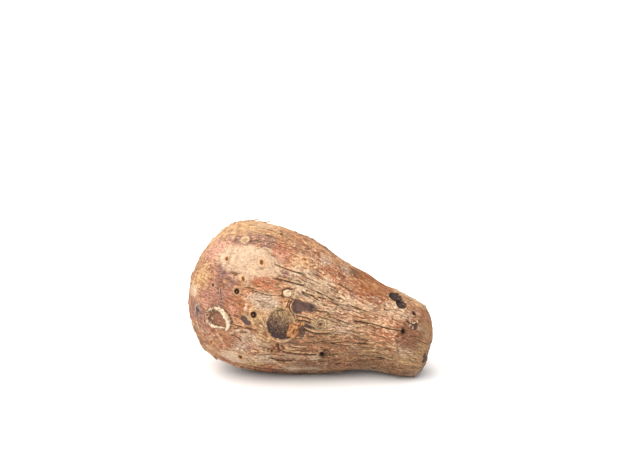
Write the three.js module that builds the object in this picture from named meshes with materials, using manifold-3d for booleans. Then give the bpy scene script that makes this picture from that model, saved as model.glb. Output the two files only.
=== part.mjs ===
// A taro corm lying on its side, as lifted and dried: a round bulb end towards -X, and a narrower
// neck towards +X that droops until its rim touches the ground.
// Millimetres, +Z up. The ground is z = 0, and the middle of the corm's box stands over the origin.
// The skin is worked out first on the corm's own axis: "along" runs from the bulb's tip to the neck's
// end, "skin" is the distance over the surface from the bulb's tip, and "around" is an angle in
// degrees that is 0 at the front (-Y), 90 on top, 180 at the back and 270 underneath.
import * as THREE from 'three'
import { mergeVertices } from 'three/addons/utils/BufferGeometryUtils.js'
import Module from 'manifold-3d'

// Outline of the corm: distance along its axis, and radius there.
const PROFILE = [
  [0, 0], [1.3, 10.6], [5.6, 20], [13, 27.7], [25, 30.7], [38, 30.1], [52, 27.1],
  [66, 22.3], [79, 18.3], [90, 16.6], [98, 14.9], [102.4, 11.2], [104.6, 4.4], [105, 0],
]
// How far the middle of the section stands above the straight axis, which bends the neck a little.
const CENTRE_LIFT = [[0, 0.6], [8, 1.2], [20, 0.5], [60, 0.2], [84, 1.3], [98, 0], [105, -3]]
// The axis falls towards the neck by this angle, so that belly and neck rim touch the ground together.
const AXIS_FALL_DEG = 14.2
// Depth that the corm's own weight and wear have flattened where it rests.
const REST_FLAT_DEPTH = 0.45

// Out-of-round lobes of the section: waves around, share of the radius, start, drift along the axis.
const LOBES = [[2, 0.018, 0.6, 0], [3, 0.014, 1.9, 1 / 40], [5, 0.008, 0.4, -1 / 26]]
// Soft lumps of the surface: height in mm, waves around, wave length along in mm, start.
const LUMPS = [[0.32, 3, 41, 0.7], [0.26, 5, 29, 2.3], [0.2, 7, 23, 4.4]]

// Fissures of the bark, which run with the corm's length.
const FISSURES = 23
const FIRST_FISSURE_DEG = 7
const FISSURE_DEPTH = 1
const FISSURE_LIP_HEIGHT = 0.22
const FISSURE_HALF_WIDTH = 0.7
const FISSURES_START = 44
const FISSURES_END = 124

// Leaf scars: low steps that ring the bulb end, given by their distance over the skin.
const LEAF_SCAR_SKIN = [7.5, 12.5, 18, 25, 33.5]
const LEAF_SCAR_WAVE = 0.8
// The collar where the neck's end cap begins: a ring that lies aslant, furthest along at one angle.
const CAP_RING = { skin: 108.5, slant: 4, furthestAround: -15 }
// Height of the step at every ring.
const RING_STEP = 0.3

// Where roots broke off: skin, around, outer radius of the rim, rim height, radius and depth of the hole.
const ROOT_SCARS = [
  [42.3, 19.2, 2.1, 0.25, 1.15, 1.6], [51.3, 5.5, 1.9, 0.15, 1.2, 1.7], [31.7, 17, 1.3, 0.2, 0.5, 0.7],
  [34.9, 19.4, 1.2, 0.12, 0.5, 0.6], [34, 42.1, 1.6, 0.1, 0.8, 0.8], [48.7, 46.4, 2, 0.12, 1, 1],
  [38.7, 62.4, 2, 0.35, 0, 0], [43, 29.3, 1.7, 0.1, 0.8, 0.6], [22.3, 22.5, 1.3, 0.1, 0.6, 0.5],
  [64.8, 62.3, 1.8, 0.25, 0.7, 0.6], [57.2, 82.9, 1.3, 0.15, 0.6, 0.7], [79.1, 10.6, 2.5, 0.35, 0.7, 1],
  [82.6, -21.9, 2.1, 0.2, 1.3, 1.2], [62.2, -22.4, 1.8, 0.15, 1, 1], [50.1, -37.2, 1.7, 0.2, 0.8, 0.8],
  [113.1, 27.5, 1.8, 0.25, 0.9, 1.2], [98.3, 56.9, 2, 0.25, 0.6, 0.5], [88.1, 45.9, 1.4, 0.1, 0.7, 0.7],
  [127.6, 6.5, 1.5, 0.1, 0.9, 1], [126.7, -9.8, 1.4, 0.1, 0.8, 0.9], [36.5, -34, 1.6, 0.15, 0.7, 0.6],
]
// The root scars on the sides that are turned away follow a rule, as thick on the ground as the rest.
const FAR_ROOT_SCARS = 20
const GOLDEN_SHARE = 0.618034

// Where side corms broke off or buds dried: skin, around, half length along, half width around,
// depth of the bowl, height of the middle above the bowl's floor.
const SIDE_CORM_SCARS = [[61.7, 3.8, 4.9, 7.2, 0.9, 0.5], [71, 196, 5.6, 5.2, 1, 0.6], [45, 291, 4.4, 4, 0.9, 0.5]]
const BUD_SCARS = [[106.4, 78.4, 1.9, 3.4, 1.7, 0], [97, 232, 2, 2.8, 1.4, 0], [29, 138, 2.2, 2.6, 1.2, 0]]

// The torn collar that still curls round one side corm's scar.
const COLLAR = { skin: 38.5, around: -7.3, radiusAlong: 4.5, radiusAround: 4.7, thick: 1.25, from: -70, to: 150 }
// The broken face at the neck's end, and the dried bud at the bulb's tip.
const NECK_FACE_BOWL = { radius: 4.6, depth: 1 }
const TIP_BUD = { radius: 3.1, height: 0.9 }

const wasm = await Module()
wasm.setup()

const radians = THREE.MathUtils.degToRad
const fraction = (value) => value - Math.floor(value)

function smoothStep(from, to, value) {
  const share = Math.min(1, Math.max(0, (value - from) / (to - from)))
  return share * share * (3 - 2 * share)
}

function between(table, value) {
  const last = table.length - 1
  if (value <= table[0][0]) return table[0][1]
  if (value >= table[last][0]) return table[last][1]
  const next = table.findIndex((row) => row[0] > value)
  const [x0, y0] = table[next - 1]
  const [x1, y1] = table[next]
  return y0 + ((y1 - y0) * (value - x0)) / (x1 - x0)
}

// The outline as a smooth curve, measured off by the distance over the skin.
const outline = new THREE.SplineCurve(PROFILE.map(([along, radius]) => new THREE.Vector2(along, radius)))
outline.arcLengthDivisions = 2000
const SKIN_LENGTH = outline.getLength()

function outlineAt(skin) {
  const point = outline.getPointAt(Math.min(1, Math.max(0, skin / SKIN_LENGTH)))
  return [point.x, Math.max(0, point.y)]
}

// The smooth body without any relief: radius times the lobes, about the lifted centre.
function bodyPoint(skin, around) {
  const [along, radius] = outlineAt(skin)
  const angle = radians(around)
  let share = 1
  for (const [waves, size, start, drift] of LOBES) {
    share += size * Math.cos(waves * angle + start + along * drift)
  }
  const reach = radius * share
  const lift = between(CENTRE_LIFT, along)
  return new THREE.Vector3(along, -Math.cos(angle) * reach, Math.sin(angle) * reach + lift)
}

// Position, outward normal and the two directions over the skin at one place.
function skinFrame(skin, around) {
  const inner = Math.min(SKIN_LENGTH - 0.6, Math.max(0.6, skin))
  const point = bodyPoint(skin, around)
  const along = bodyPoint(inner + 0.3, around).sub(bodyPoint(inner - 0.3, around)).normalize()
  const sideways = bodyPoint(inner, around + 1).sub(bodyPoint(inner, around - 1)).normalize()
  const normal = new THREE.Vector3().crossVectors(along, sideways).normalize()
  const outward = new THREE.Vector3(0, -Math.cos(radians(around)), Math.sin(radians(around)))
  if (skin < 1) outward.set(-1, 0, 0)
  if (skin > SKIN_LENGTH - 1) outward.set(1, 0, 0)
  if (normal.dot(outward) < 0) normal.negate()
  return { point, normal, along }
}

// Height of the soft lumps, which die away at both ends.
function lumpHeight(skin, around) {
  const [along] = outlineAt(skin)
  let height = 0
  for (const [size, waves, length, start] of LUMPS) {
    height += size * Math.sin(waves * radians(around) + start) * Math.sin((2 * Math.PI * along) / length + start)
  }
  return height * smoothStep(4, 26, skin) * smoothStep(SKIN_LENGTH - 3, SKIN_LENGTH - 22, skin)
}

// Where one fissure lies at a distance over the skin: each wanders a few degrees by itself.
function fissureAround(index, skin) {
  const own = fraction((index + 1) * GOLDEN_SHARE)
  const wander = 2.6 * Math.sin(skin / (9 + 6 * own) + 20 * own) + 1.8 * Math.sin(skin / 21 + 9 * own)
  return FIRST_FISSURE_DEG + (360 * index) / FISSURES + wander * smoothStep(10, 40, skin)
}

// How deep one fissure is there: it opens and closes along its length, and fades at its ends.
function fissureDepth(index, skin) {
  const own = fraction((index + 1) * GOLDEN_SHARE)
  const opening = 0.5 + 0.5 * Math.sin((2 * Math.PI * skin) / (19 + 16 * own) + 17 * own)
  const ends = smoothStep(FISSURES_START, FISSURES_START + 16, skin) * smoothStep(FISSURES_END, FISSURES_END - 12, skin)
  return FISSURE_DEPTH * (0.35 + 0.65 * smoothStep(0.1, 0.6, opening)) * ends
}

// The resting patch stays whole: relief dies away round the middle of the underside.
function restFade(skin, around) {
  const sideways = Math.abs(fraction((around - 270) / 360 + 0.5) - 0.5) * 360
  return smoothStep(14, 26, sideways) + (1 - smoothStep(14, 26, sideways)) * smoothStep(20, 12, skin)
}

// The cap's ring is a plane cut through the neck, so it moves along as a cosine.
const capRingSkin = (around) => CAP_RING.skin + CAP_RING.slant * Math.cos(radians(around - CAP_RING.furthestAround))

// Leaf scars wave round the bulb, and the skin steps down just past each one.
function leafScarSkin(index, around) {
  const angle = radians(around)
  const wave = Math.sin(angle * 2 + index * 1.7) + 0.5 * Math.sin(angle * 3 + index * 2.9)
  return LEAF_SCAR_SKIN[index] + LEAF_SCAR_WAVE * wave * smoothStep(0, 20, LEAF_SCAR_SKIN[index])
}

// The rows of the skin: three close rows at every ring, and even rows between and up to the neck's end.
function skinRows() {
  const rings = LEAF_SCAR_SKIN.map((_, index) => (around) => leafScarSkin(index, around))
  rings.push(capRingSkin)
  const rows = []
  const evenRows = (start, end, spacing) => {
    const count = Math.round((end(0) - start(0)) / spacing) - 1
    for (let k = 1; k <= count; k++) {
      const share = k / (count + 1)
      rows.push({ at: (around) => start(around) + (end(around) - start(around)) * share, step: 0 })
    }
  }
  let before = () => 0
  for (const ring of rings) {
    evenRows(before, (around) => ring(around) - 1.3, before(0) < 30 ? 2.9 : 3.4)
    for (const [offset, height] of [[-1.3, 0.2], [-0.2, 1], [0.6, -0.6]]) {
      rows.push({ at: (around) => ring(around) + offset, step: height * RING_STEP })
    }
    before = (around) => ring(around) + 0.6
  }
  evenRows(before, () => SKIN_LENGTH, 3.1)
  return rows
}

// The corm's skin as one closed grid: each fissure takes a column for its floor and one for each lip.
function bodyGeometry() {
  const rows = skinRows()
  const columns = FISSURES * 3
  const positions = []
  const place = (skin, around, height) => {
    const { point, normal } = skinFrame(skin, around)
    const relief = height * restFade(skin, around) + lumpHeight(skin, around)
    point.addScaledVector(normal, relief)
    positions.push(point.x, point.y, point.z)
  }
  place(0, 0, 0)
  for (const row of rows) {
    const [, radius] = outlineAt(row.at(0))
    const even = 360 / FISSURES / 3
    const narrow = Math.min(even, (FISSURE_HALF_WIDTH / Math.max(radius, 1)) * 57.3)
    const half = even + (narrow - even) * smoothStep(FISSURES_START - 6, FISSURES_START + 8, row.at(0))
    for (let index = 0; index < FISSURES; index++) {
      const floor = fissureAround(index, row.at(0))
      const depth = fissureDepth(index, row.at(0))
      const lip = (depth / FISSURE_DEPTH) * FISSURE_LIP_HEIGHT
      place(row.at(floor - half), floor - half, lip + row.step)
      place(row.at(floor), floor, row.step - depth)
      place(row.at(floor + half), floor + half, lip + row.step)
    }
  }
  place(SKIN_LENGTH, 0, 0)
  const faces = []
  const top = positions.length / 3 - 1
  for (let column = 0; column < columns; column++) {
    const beside = (column + 1) % columns
    faces.push(0, 1 + column, 1 + beside)
    for (let row = 0; row < rows.length - 1; row++) {
      const near = 1 + row * columns
      const far = near + columns
      faces.push(near + column, far + column, far + beside)
      faces.push(near + column, far + beside, near + beside)
    }
    const end = 1 + (rows.length - 1) * columns
    faces.push(end + column, top, end + beside)
  }
  const geometry = new THREE.BufferGeometry()
  geometry.setAttribute('position', new THREE.Float32BufferAttribute(positions, 3))
  geometry.setIndex(faces)
  return geometry
}

// A closed surface as a solid for joining and cutting, turned so that its faces point outwards.
function solidFrom(geometry) {
  const plain = geometry.clone()
  plain.deleteAttribute('normal')
  plain.deleteAttribute('uv')
  const welded = mergeVertices(plain, 1e-5)
  const vertices = Float32Array.from(welded.getAttribute('position').array)
  const faces = []
  let volume = 0
  const source = welded.getIndex().array
  const corner = (index) => new THREE.Vector3(vertices[3 * index], vertices[3 * index + 1], vertices[3 * index + 2])
  for (let k = 0; k < source.length; k += 3) {
    const [a, b, c] = [source[k], source[k + 1], source[k + 2]]
    if (a === b || b === c || c === a) continue
    faces.push([a, b, c])
    volume += corner(a).dot(corner(b).cross(corner(c)))
  }
  const turned = volume < 0 ? faces.map(([a, b, c]) => [a, c, b]) : faces
  const mesh = new wasm.Mesh({ numProp: 3, vertProperties: vertices, triVerts: Uint32Array.from(turned.flat()) })
  return new wasm.Manifold(mesh)
}

// A turned shape whose axis stands on the skin: heights are measured outwards from the surface.
function turnedOnSkin(skin, around, outlinePoints, sides, stretch = [1, 1]) {
  const points = outlinePoints.map(([radius, height]) => new THREE.Vector2(radius, height))
  const geometry = new THREE.LatheGeometry(points, sides)
  geometry.scale(stretch[0], 1, stretch[1])
  const { point, normal, along } = skinFrame(skin, around)
  point.addScaledVector(normal, lumpHeight(skin, around))
  const forward = along.addScaledVector(normal, -along.dot(normal)).normalize()
  const sideways = new THREE.Vector3().crossVectors(forward, normal)
  geometry.applyMatrix4(new THREE.Matrix4().makeBasis(forward, normal, sideways).setPosition(point))
  return solidFrom(geometry)
}

function farRootScars() {
  const scars = []
  for (let k = 0; k < FAR_ROOT_SCARS; k++) {
    const skin = 17 + 104 * fraction(k * GOLDEN_SHARE + 0.31)
    const around = 104 + 206 * ((k + 0.5) / FAR_ROOT_SCARS)
    const size = 1.3 + 0.9 * fraction(k * 0.754878 + 0.2)
    const underneath = Math.abs(around - 270) < 24 && skin > 40
    if (!underneath) scars.push([skin, around, size, 0.22, size * 0.5, size * 0.6])
  }
  return scars
}

// A bowl with a slightly raised middle, which cuts a round scar into the skin.
function bowlOutline(radius, depth, middle) {
  return [[0, middle - depth], [radius * 0.62, middle * 0.6 - depth], [radius * 0.9, -depth], [radius, 1.2], [0, 1.2]]
}

// The torn collar: a tapering roll of skin that follows an arc on the surface.
function collarSolid() {
  const steps = 13
  const sides = 6
  const positions = []
  const faces = []
  for (let k = 0; k <= steps; k++) {
    const turn = radians(COLLAR.from + ((COLLAR.to - COLLAR.from) * k) / steps)
    const [, radius] = outlineAt(COLLAR.skin)
    const skin = COLLAR.skin + COLLAR.radiusAlong * Math.cos(turn)
    const around = COLLAR.around + ((COLLAR.radiusAround * Math.sin(turn)) / radius) * 57.3
    const { point, normal } = skinFrame(skin, around)
    const middle = skinFrame(COLLAR.skin, COLLAR.around).point
    const outwards = point.clone().sub(middle).normalize()
    const thick = COLLAR.thick * (0.35 + 0.65 * Math.sin((Math.PI * (k + 0.6)) / (steps + 1.2)))
    for (let side = 0; side < sides; side++) {
      const angle = (2 * Math.PI * side) / sides
      const corner = point.clone().addScaledVector(outwards, thick * Math.cos(angle))
      corner.addScaledVector(normal, thick * (0.25 + 0.75 * Math.sin(angle)))
      positions.push(corner.x, corner.y, corner.z)
    }
  }
  for (let k = 0; k < steps; k++) {
    for (let side = 0; side < sides; side++) {
      const [a, b] = [k * sides + side, k * sides + ((side + 1) % sides)]
      faces.push(a, b, b + sides, a, b + sides, a + sides)
    }
  }
  for (let side = 1; side < sides - 1; side++) {
    const end = steps * sides
    faces.push(0, side + 1, side, end, end + side, end + side + 1)
  }
  const geometry = new THREE.BufferGeometry()
  geometry.setAttribute('position', new THREE.Float32BufferAttribute(positions, 3))
  geometry.setIndex(faces)
  return solidFrom(geometry)
}

function cormSolid() {
  let corm = solidFrom(bodyGeometry())
  const scars = [...ROOT_SCARS, ...farRootScars()]
  for (const [skin, around, radius, height] of scars) {
    if (height < 0.15) continue
    const rim = [[0, -0.8], [radius * 1.2, -0.7], [radius * 0.92, height], [0, height * 1.2]]
    corm = corm.add(turnedOnSkin(skin, around, rim, 7))
  }
  const bud = [[0, -1.5], [TIP_BUD.radius, -1], [TIP_BUD.radius * 0.7, TIP_BUD.height * 0.6], [0, TIP_BUD.height]]
  corm = corm.add(turnedOnSkin(0, 0, bud, 10))
  for (const [skin, around, halfAlong, halfAround, depth, middle] of [...SIDE_CORM_SCARS, ...BUD_SCARS]) {
    corm = corm.subtract(turnedOnSkin(skin, around, bowlOutline(1, depth, middle), 12, [halfAlong, halfAround]))
  }
  const inside = COLLAR.radiusAlong - 0.4
  corm = corm.subtract(turnedOnSkin(COLLAR.skin, COLLAR.around, bowlOutline(inside, 0.9, 0.35), 12))
  corm = corm.add(collarSolid())
  for (const [skin, around, , height, radius, depth] of scars) {
    if (radius === 0) continue
    const clear = 0.9
    const mouth = (radius * (depth + clear)) / (depth + height)
    corm = corm.subtract(turnedOnSkin(skin, around, [[0, -depth], [mouth, clear], [0, clear]], 6))
  }
  const face = bowlOutline(NECK_FACE_BOWL.radius, NECK_FACE_BOWL.depth, 0.5)
  return corm.subtract(turnedOnSkin(SKIN_LENGTH, 0, face, 12))
}

// Back from a solid to a plain three.js surface.
function geometryFrom(solid) {
  const mesh = solid.getMesh()
  const geometry = new THREE.BufferGeometry()
  geometry.setAttribute('position', new THREE.Float32BufferAttribute(mesh.vertProperties, 3))
  geometry.setIndex([...mesh.triVerts])
  return geometry
}

// Lays the corm down: the axis falls towards the neck, and the underside is worn flat at the ground.
function laidDown(solid) {
  const geometry = geometryFrom(solid)
  geometry.rotateY(radians(AXIS_FALL_DEG))
  geometry.computeBoundingBox()
  const box = geometry.boundingBox
  geometry.translate(-(box.min.x + box.max.x) / 2, -(box.min.y + box.max.y) / 2, -box.min.z - REST_FLAT_DEPTH)
  const ground = new THREE.BoxGeometry(200, 200, 20)
  ground.translate(0, 0, -10)
  return geometryFrom(solidFrom(geometry).subtract(solidFrom(ground)))
}

const bark = new THREE.MeshStandardMaterial({ color: '#b08a66', roughness: 0.85, metalness: 0 })
const corm = new THREE.Mesh(laidDown(cormSolid()), bark)
corm.name = 'corm'

const group = new THREE.Group()
group.name = 'taro_root'
group.add(corm)

export default group
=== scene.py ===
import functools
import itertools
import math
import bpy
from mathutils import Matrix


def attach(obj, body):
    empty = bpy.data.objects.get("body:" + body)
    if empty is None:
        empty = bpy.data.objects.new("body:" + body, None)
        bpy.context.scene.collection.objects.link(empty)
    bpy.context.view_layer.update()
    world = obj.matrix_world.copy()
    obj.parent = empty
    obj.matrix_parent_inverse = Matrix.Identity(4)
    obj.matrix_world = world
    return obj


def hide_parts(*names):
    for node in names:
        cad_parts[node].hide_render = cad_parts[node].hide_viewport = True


bl_info = {
    "name": "Taro corm",
    "version": (1, 0, 0),
    "blender": (4, 5, 0),
    "location": "View3D > Sidebar > Taro corm",
    "description": "Dresses a taro corm in bark, root scars, hairs and flakes, and lights it on a pale floor",
    "category": "Add Mesh",
}

import bpy
import numpy as np
from mathutils import Vector

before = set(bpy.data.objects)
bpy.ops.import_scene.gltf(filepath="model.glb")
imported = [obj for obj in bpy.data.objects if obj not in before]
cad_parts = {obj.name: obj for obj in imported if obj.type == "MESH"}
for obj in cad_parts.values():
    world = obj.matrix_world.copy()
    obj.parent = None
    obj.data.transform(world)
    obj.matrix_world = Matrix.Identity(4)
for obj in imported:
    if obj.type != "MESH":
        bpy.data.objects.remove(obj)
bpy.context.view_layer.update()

# The driving sizes down to the ring step are the solid's own.
# The outline: distance along the axis, and radius there.
PROFILE = np.array([
    (0, 0), (1.3, 10.6), (5.6, 20), (13, 27.7), (25, 30.7), (38, 30.1), (52, 27.1),
    (66, 22.3), (79, 18.3), (90, 16.6), (98, 14.9), (102.4, 11.2), (104.6, 4.4), (105, 0)], float)
# How far the section's middle stands above the straight axis, at distances along it.
CENTRE_LIFT = np.array([(0, 0.6), (8, 1.2), (20, 0.5), (60, 0.2), (84, 1.3), (98, 0), (105, -3)], float)
# The axis falls towards the neck by this angle, and the shift puts the corm on the ground with the middle of
# its box over the origin.
AXIS_FALL_DEG = 14.2
LAID_DOWN_SHIFT = np.array([-50.209, 0.143, 38.096])
# Out-of-round lobes of the section: waves around, share of the radius, start, drift along the axis.
LOBES = [(2, 0.018, 0.6, 0), (3, 0.014, 1.9, 1 / 40), (5, 0.008, 0.4, -1 / 26)]
# Soft lumps: height in mm, waves around, wave length along in mm, start.
LUMPS = [(0.32, 3, 41, 0.7), (0.26, 5, 29, 2.3), (0.2, 7, 23, 4.4)]
# Fissures of the bark: how many, the first one's angle, and the skin where they start and end.
FISSURES = 23
FIRST_FISSURE_DEG = 7
FISSURES_START = 44
FISSURES_END = 124
# Leaf scars: the skin at each, and how many mm they wave.
LEAF_SCAR_SKIN = [7.5, 12.5, 18, 25, 33.5]
LEAF_SCAR_WAVE = 0.8
# The ring where the neck's cap begins: its skin, its slant in mm, and the angle where it is furthest on.
CAP_RING = {"skin": 108.5, "slant": 4, "furthest": -15}
# Height of the step at every ring.
RING_STEP = 0.3
# A ring's section: mm past it, and the height in shares of the step. Then the dark line at its foot: where it
# is and how wide, in mm.
RING_PLACES = [-2.4, -1.3, -0.2, 0.5, 2.4]
RING_SHAPE = [0, 0.2, 1, -0.6, 0]
RING_LINE = (0.45, 0.35)
# Either of these, added over and over, spreads its fractions evenly between 0 and 1.
GOLDEN_SHARE = 0.618034
PLASTIC_SHARE = 0.754878
# How the fine grain strays: a noise's scale per mm and how many mm it moves the grain.
GRAIN_WANDER = ((0.09, 1.0), (0.28, 0.5))
# Layers of the bark's relief: height in mm on the bulb and how much more on the neck, scale per mm across the
# grain and along it, seed, and layers of noise.
BARK_LAYERS = [(0.3, 0, 0.11, 0.05, 11, 4), (0.08, 0.16, 0.42, 0.07, 23, 4), (0.07, 0, 1.3, 0.16, 31, 3)]
# Wrinkles: scale per mm across the grain, seed, and depth in mm.
WRINKLES = [(0.36, 91, 0.34), (0.62, 95, 0.22)]
# Seeds of what is drawn at random, and of the noises that roughen the shapes.
SEEDS = {"fissures": 41, "patches": 7, "torn edges": 19, "strips": 29, "hairs": 53, "collar": 61, "flake": 67,
         "frayed bits": 71}
NOISE_SEEDS = {"wander": (201, 207), "layer": 57, "rings": 77, "scar floor": 5, "torn edges": 3, "strips": 13,
               "collar folds": 17, "collar ripple": 8, "collar grooves": 23, "flake rim": 4, "flake top": 71,
               "frayed lumps": 44}

# Root scars: skin, around, rim radius, rim height, hole radius, hole depth, look.
ROOT_SCARS = [
    (42.1, 17.6, 1.9, 0.15, 1.1, 1.0, "hole"), (51.4, 4.0, 2, 0.12, 1.3, 1.0, "hole"),
    (31.5, 15.9, 1.6, 0.12, 0.5, 0.5, "hole"), (34.9, 17.6, 1.0, 0.1, 0.35, 0.3, "smudge"),
    (34, 40.7, 1.5, 0.08, 0.75, 0.45, "smudge"), (48.4, 44.8, 1.9, 0.12, 0.85, 0.5, "smudge"),
    (38.7, 61.3, 2, 0.25, 0.02, 0, "disc"), (43.2, 28.2, 1.9, 0.1, 0.75, 0.4, "smudge"),
    (22.3, 22.5, 1.3, 0.1, 0.5, 0.3, "smudge"), (64.8, 62.3, 1.7, 0.25, 0.5, 0.6, "red"),
    (57.2, 82.9, 1.3, 0.15, 0.5, 0.7, "smudge"), (78.9, 9.4, 2.9, 0.25, 0.35, 0.5, "rings"),
    (82.6, -22.3, 2.2, 0.3, 0.9, 1.1, "blotch"), (61.9, -24.6, 1.7, 0.1, 0.6, 0.5, "smudge"),
    (49.9, -37.5, 2.1, 0.2, 0.9, 0.6, "smudge"), (113, 25.9, 1.9, 0.2, 0.85, 1.1, "blotch"),
    (127.8, 7.5, 1.1, 0.1, 0.35, 0.4, "smudge"), (126.7, -9.8, 1.4, 0.1, 0.8, 0.9, "blotch"),
    (36.5, -34, 1.6, 0.15, 0.5, 0.5, "smudge"), (115.3, 61.5, 1.5, 0.15, 0.95, 0.9, "blotch"),
]
# How many root scars the rule lays round the hidden sides, before those under the belly are left out.
FAR_ROOT_SCARS = 20
# Each look: how pale its cork ring is (over 1 it is a flat pale disc, at 2 with rings), how orange it is, and
# how far it leans.
SCAR_LOOKS = {"hole": (0.85, 0, 0.1), "smudge": (0, 0.9, 0.5), "rings": (2, 0, 0),
              "disc": (1.25, 0, 0), "blotch": (0, 0, 0.3), "red": (0.2, 1, 0)}
# Bowls, the scars of side corms and buds: skin, around, half length, half width, depth, height of the middle,
# how dark the floor is, and lean.
BOWLS = [
    (63, 0.8, 5.9, 7.0, 0.9, 0.4, 1.0, 0.22), (71, 196, 5.6, 5.2, 1, 0.6, 1.0, 0.1),
    (45, 291, 4.4, 4, 0.9, 0.5, 1.0, 0), (106.2, 79, 3.3, 4, 0.9, 0, 1.4, 0),
    (109.2, 68.4, 2.6, 3.1, 0.8, 0, 1.4, 0), (97, 232, 2, 2.8, 1.4, 0, 1.6, 0),
    (29, 138, 2.2, 2.6, 1.2, 0, 1.5, 0),
]
# The collar's hollow: its middle, and its half sizes in mm.
COLLAR = {"skin": 37.3, "around": -9.6, "along": 4.2, "across": 4.1}
# The bulb's radius in mm where the collar lies.
BULB_RADIUS = 30.5
# The collar's lips: route, then the half width and the height in mm at the start, the middle and the end.
COLLAR_LIPS = [
    ([(34.4, -1.6), (36.2, -0.2), (38.3, -0.4), (40.4, -2.9), (42.1, -6.4), (42.6, -10.6), (41.9, -15.4)],
     (0.9, 1.5, 0.9), (0.8, 1.2, 0.7)),
    ([(41.2, -12.9), (38.9, -15), (36.7, -16), (34.9, -15.8), (33.3, -14.6)],
     (0.4, 0.75, 0.7), (0.5, 0.9, 0.7)),
    ([(31.5, -8.5), (32.1, -5.8), (33.3, -3.2), (35.2, -0.9)], (0.5, 0.9, 0.8), (0.5, 0.9, 0.7)),
    ([(33.9, -7.3), (34.7, -5), (35.9, -3.5), (37.4, -3.2)], (0.25, 0.5, 0.3), (0.4, 0.7, 0.4)),
    ([(32.8, -20), (31.4, -18), (30.8, -14.6), (31.1, -10.6)], (0.15, 0.25, 0.15), (0.25, 0.35, 0.2)),
    ([(34.2, 1.2), (35.8, 2.3), (37.4, 2.1), (38.8, 0.8)], (0.2, 0.4, 0.2), (0.4, 0.6, 0.4)),
]
# Root hairs that stand out: skin, around, length, heading in degrees (0 towards the neck), turning, lift.
CLEAR_HAIRS = [
    (52, 96, 7, 60, 2.4, 2.4), (54, 99, 6, 100, -2.2, 2.2), (57, 94, 5.5, 20, 2.6, 1.6),
    (50, 92, 6, -60, 2, 0.6), (88, 108, 5, 40, 2, 2), (90, 104, 4.5, 110, -2, 1.8),
    (14, 60, 6, 200, 1.6, 1.2), (12, 40, 5, 150, -2, 1.2), (11, 25, 6, 230, 2, 1),
    (13, 75, 6, 170, 2.2, 1.4), (16, 90, 7, 190, -1.6, 1.4), (34, 92, 6, 10, 2.4, 0.8),
    (40, 62, 7, -30, 2.8, 0.3), (46, 70, 8, 10, -2.6, 0.3), (30, 58, 6, 90, 2.6, 0.3),
    (52, 66, 7, -70, 2.2, 0.3), (25, 35, 5, 100, 2.4, 0.3),
]
# The broken face at the neck's end, and the dried bud at the bulb's tip.
NECK_FACE = {"radius": 4.6, "depth": 1.0}
TIP_BUD = {"radius": 3.1, "height": 0.9}

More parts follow.
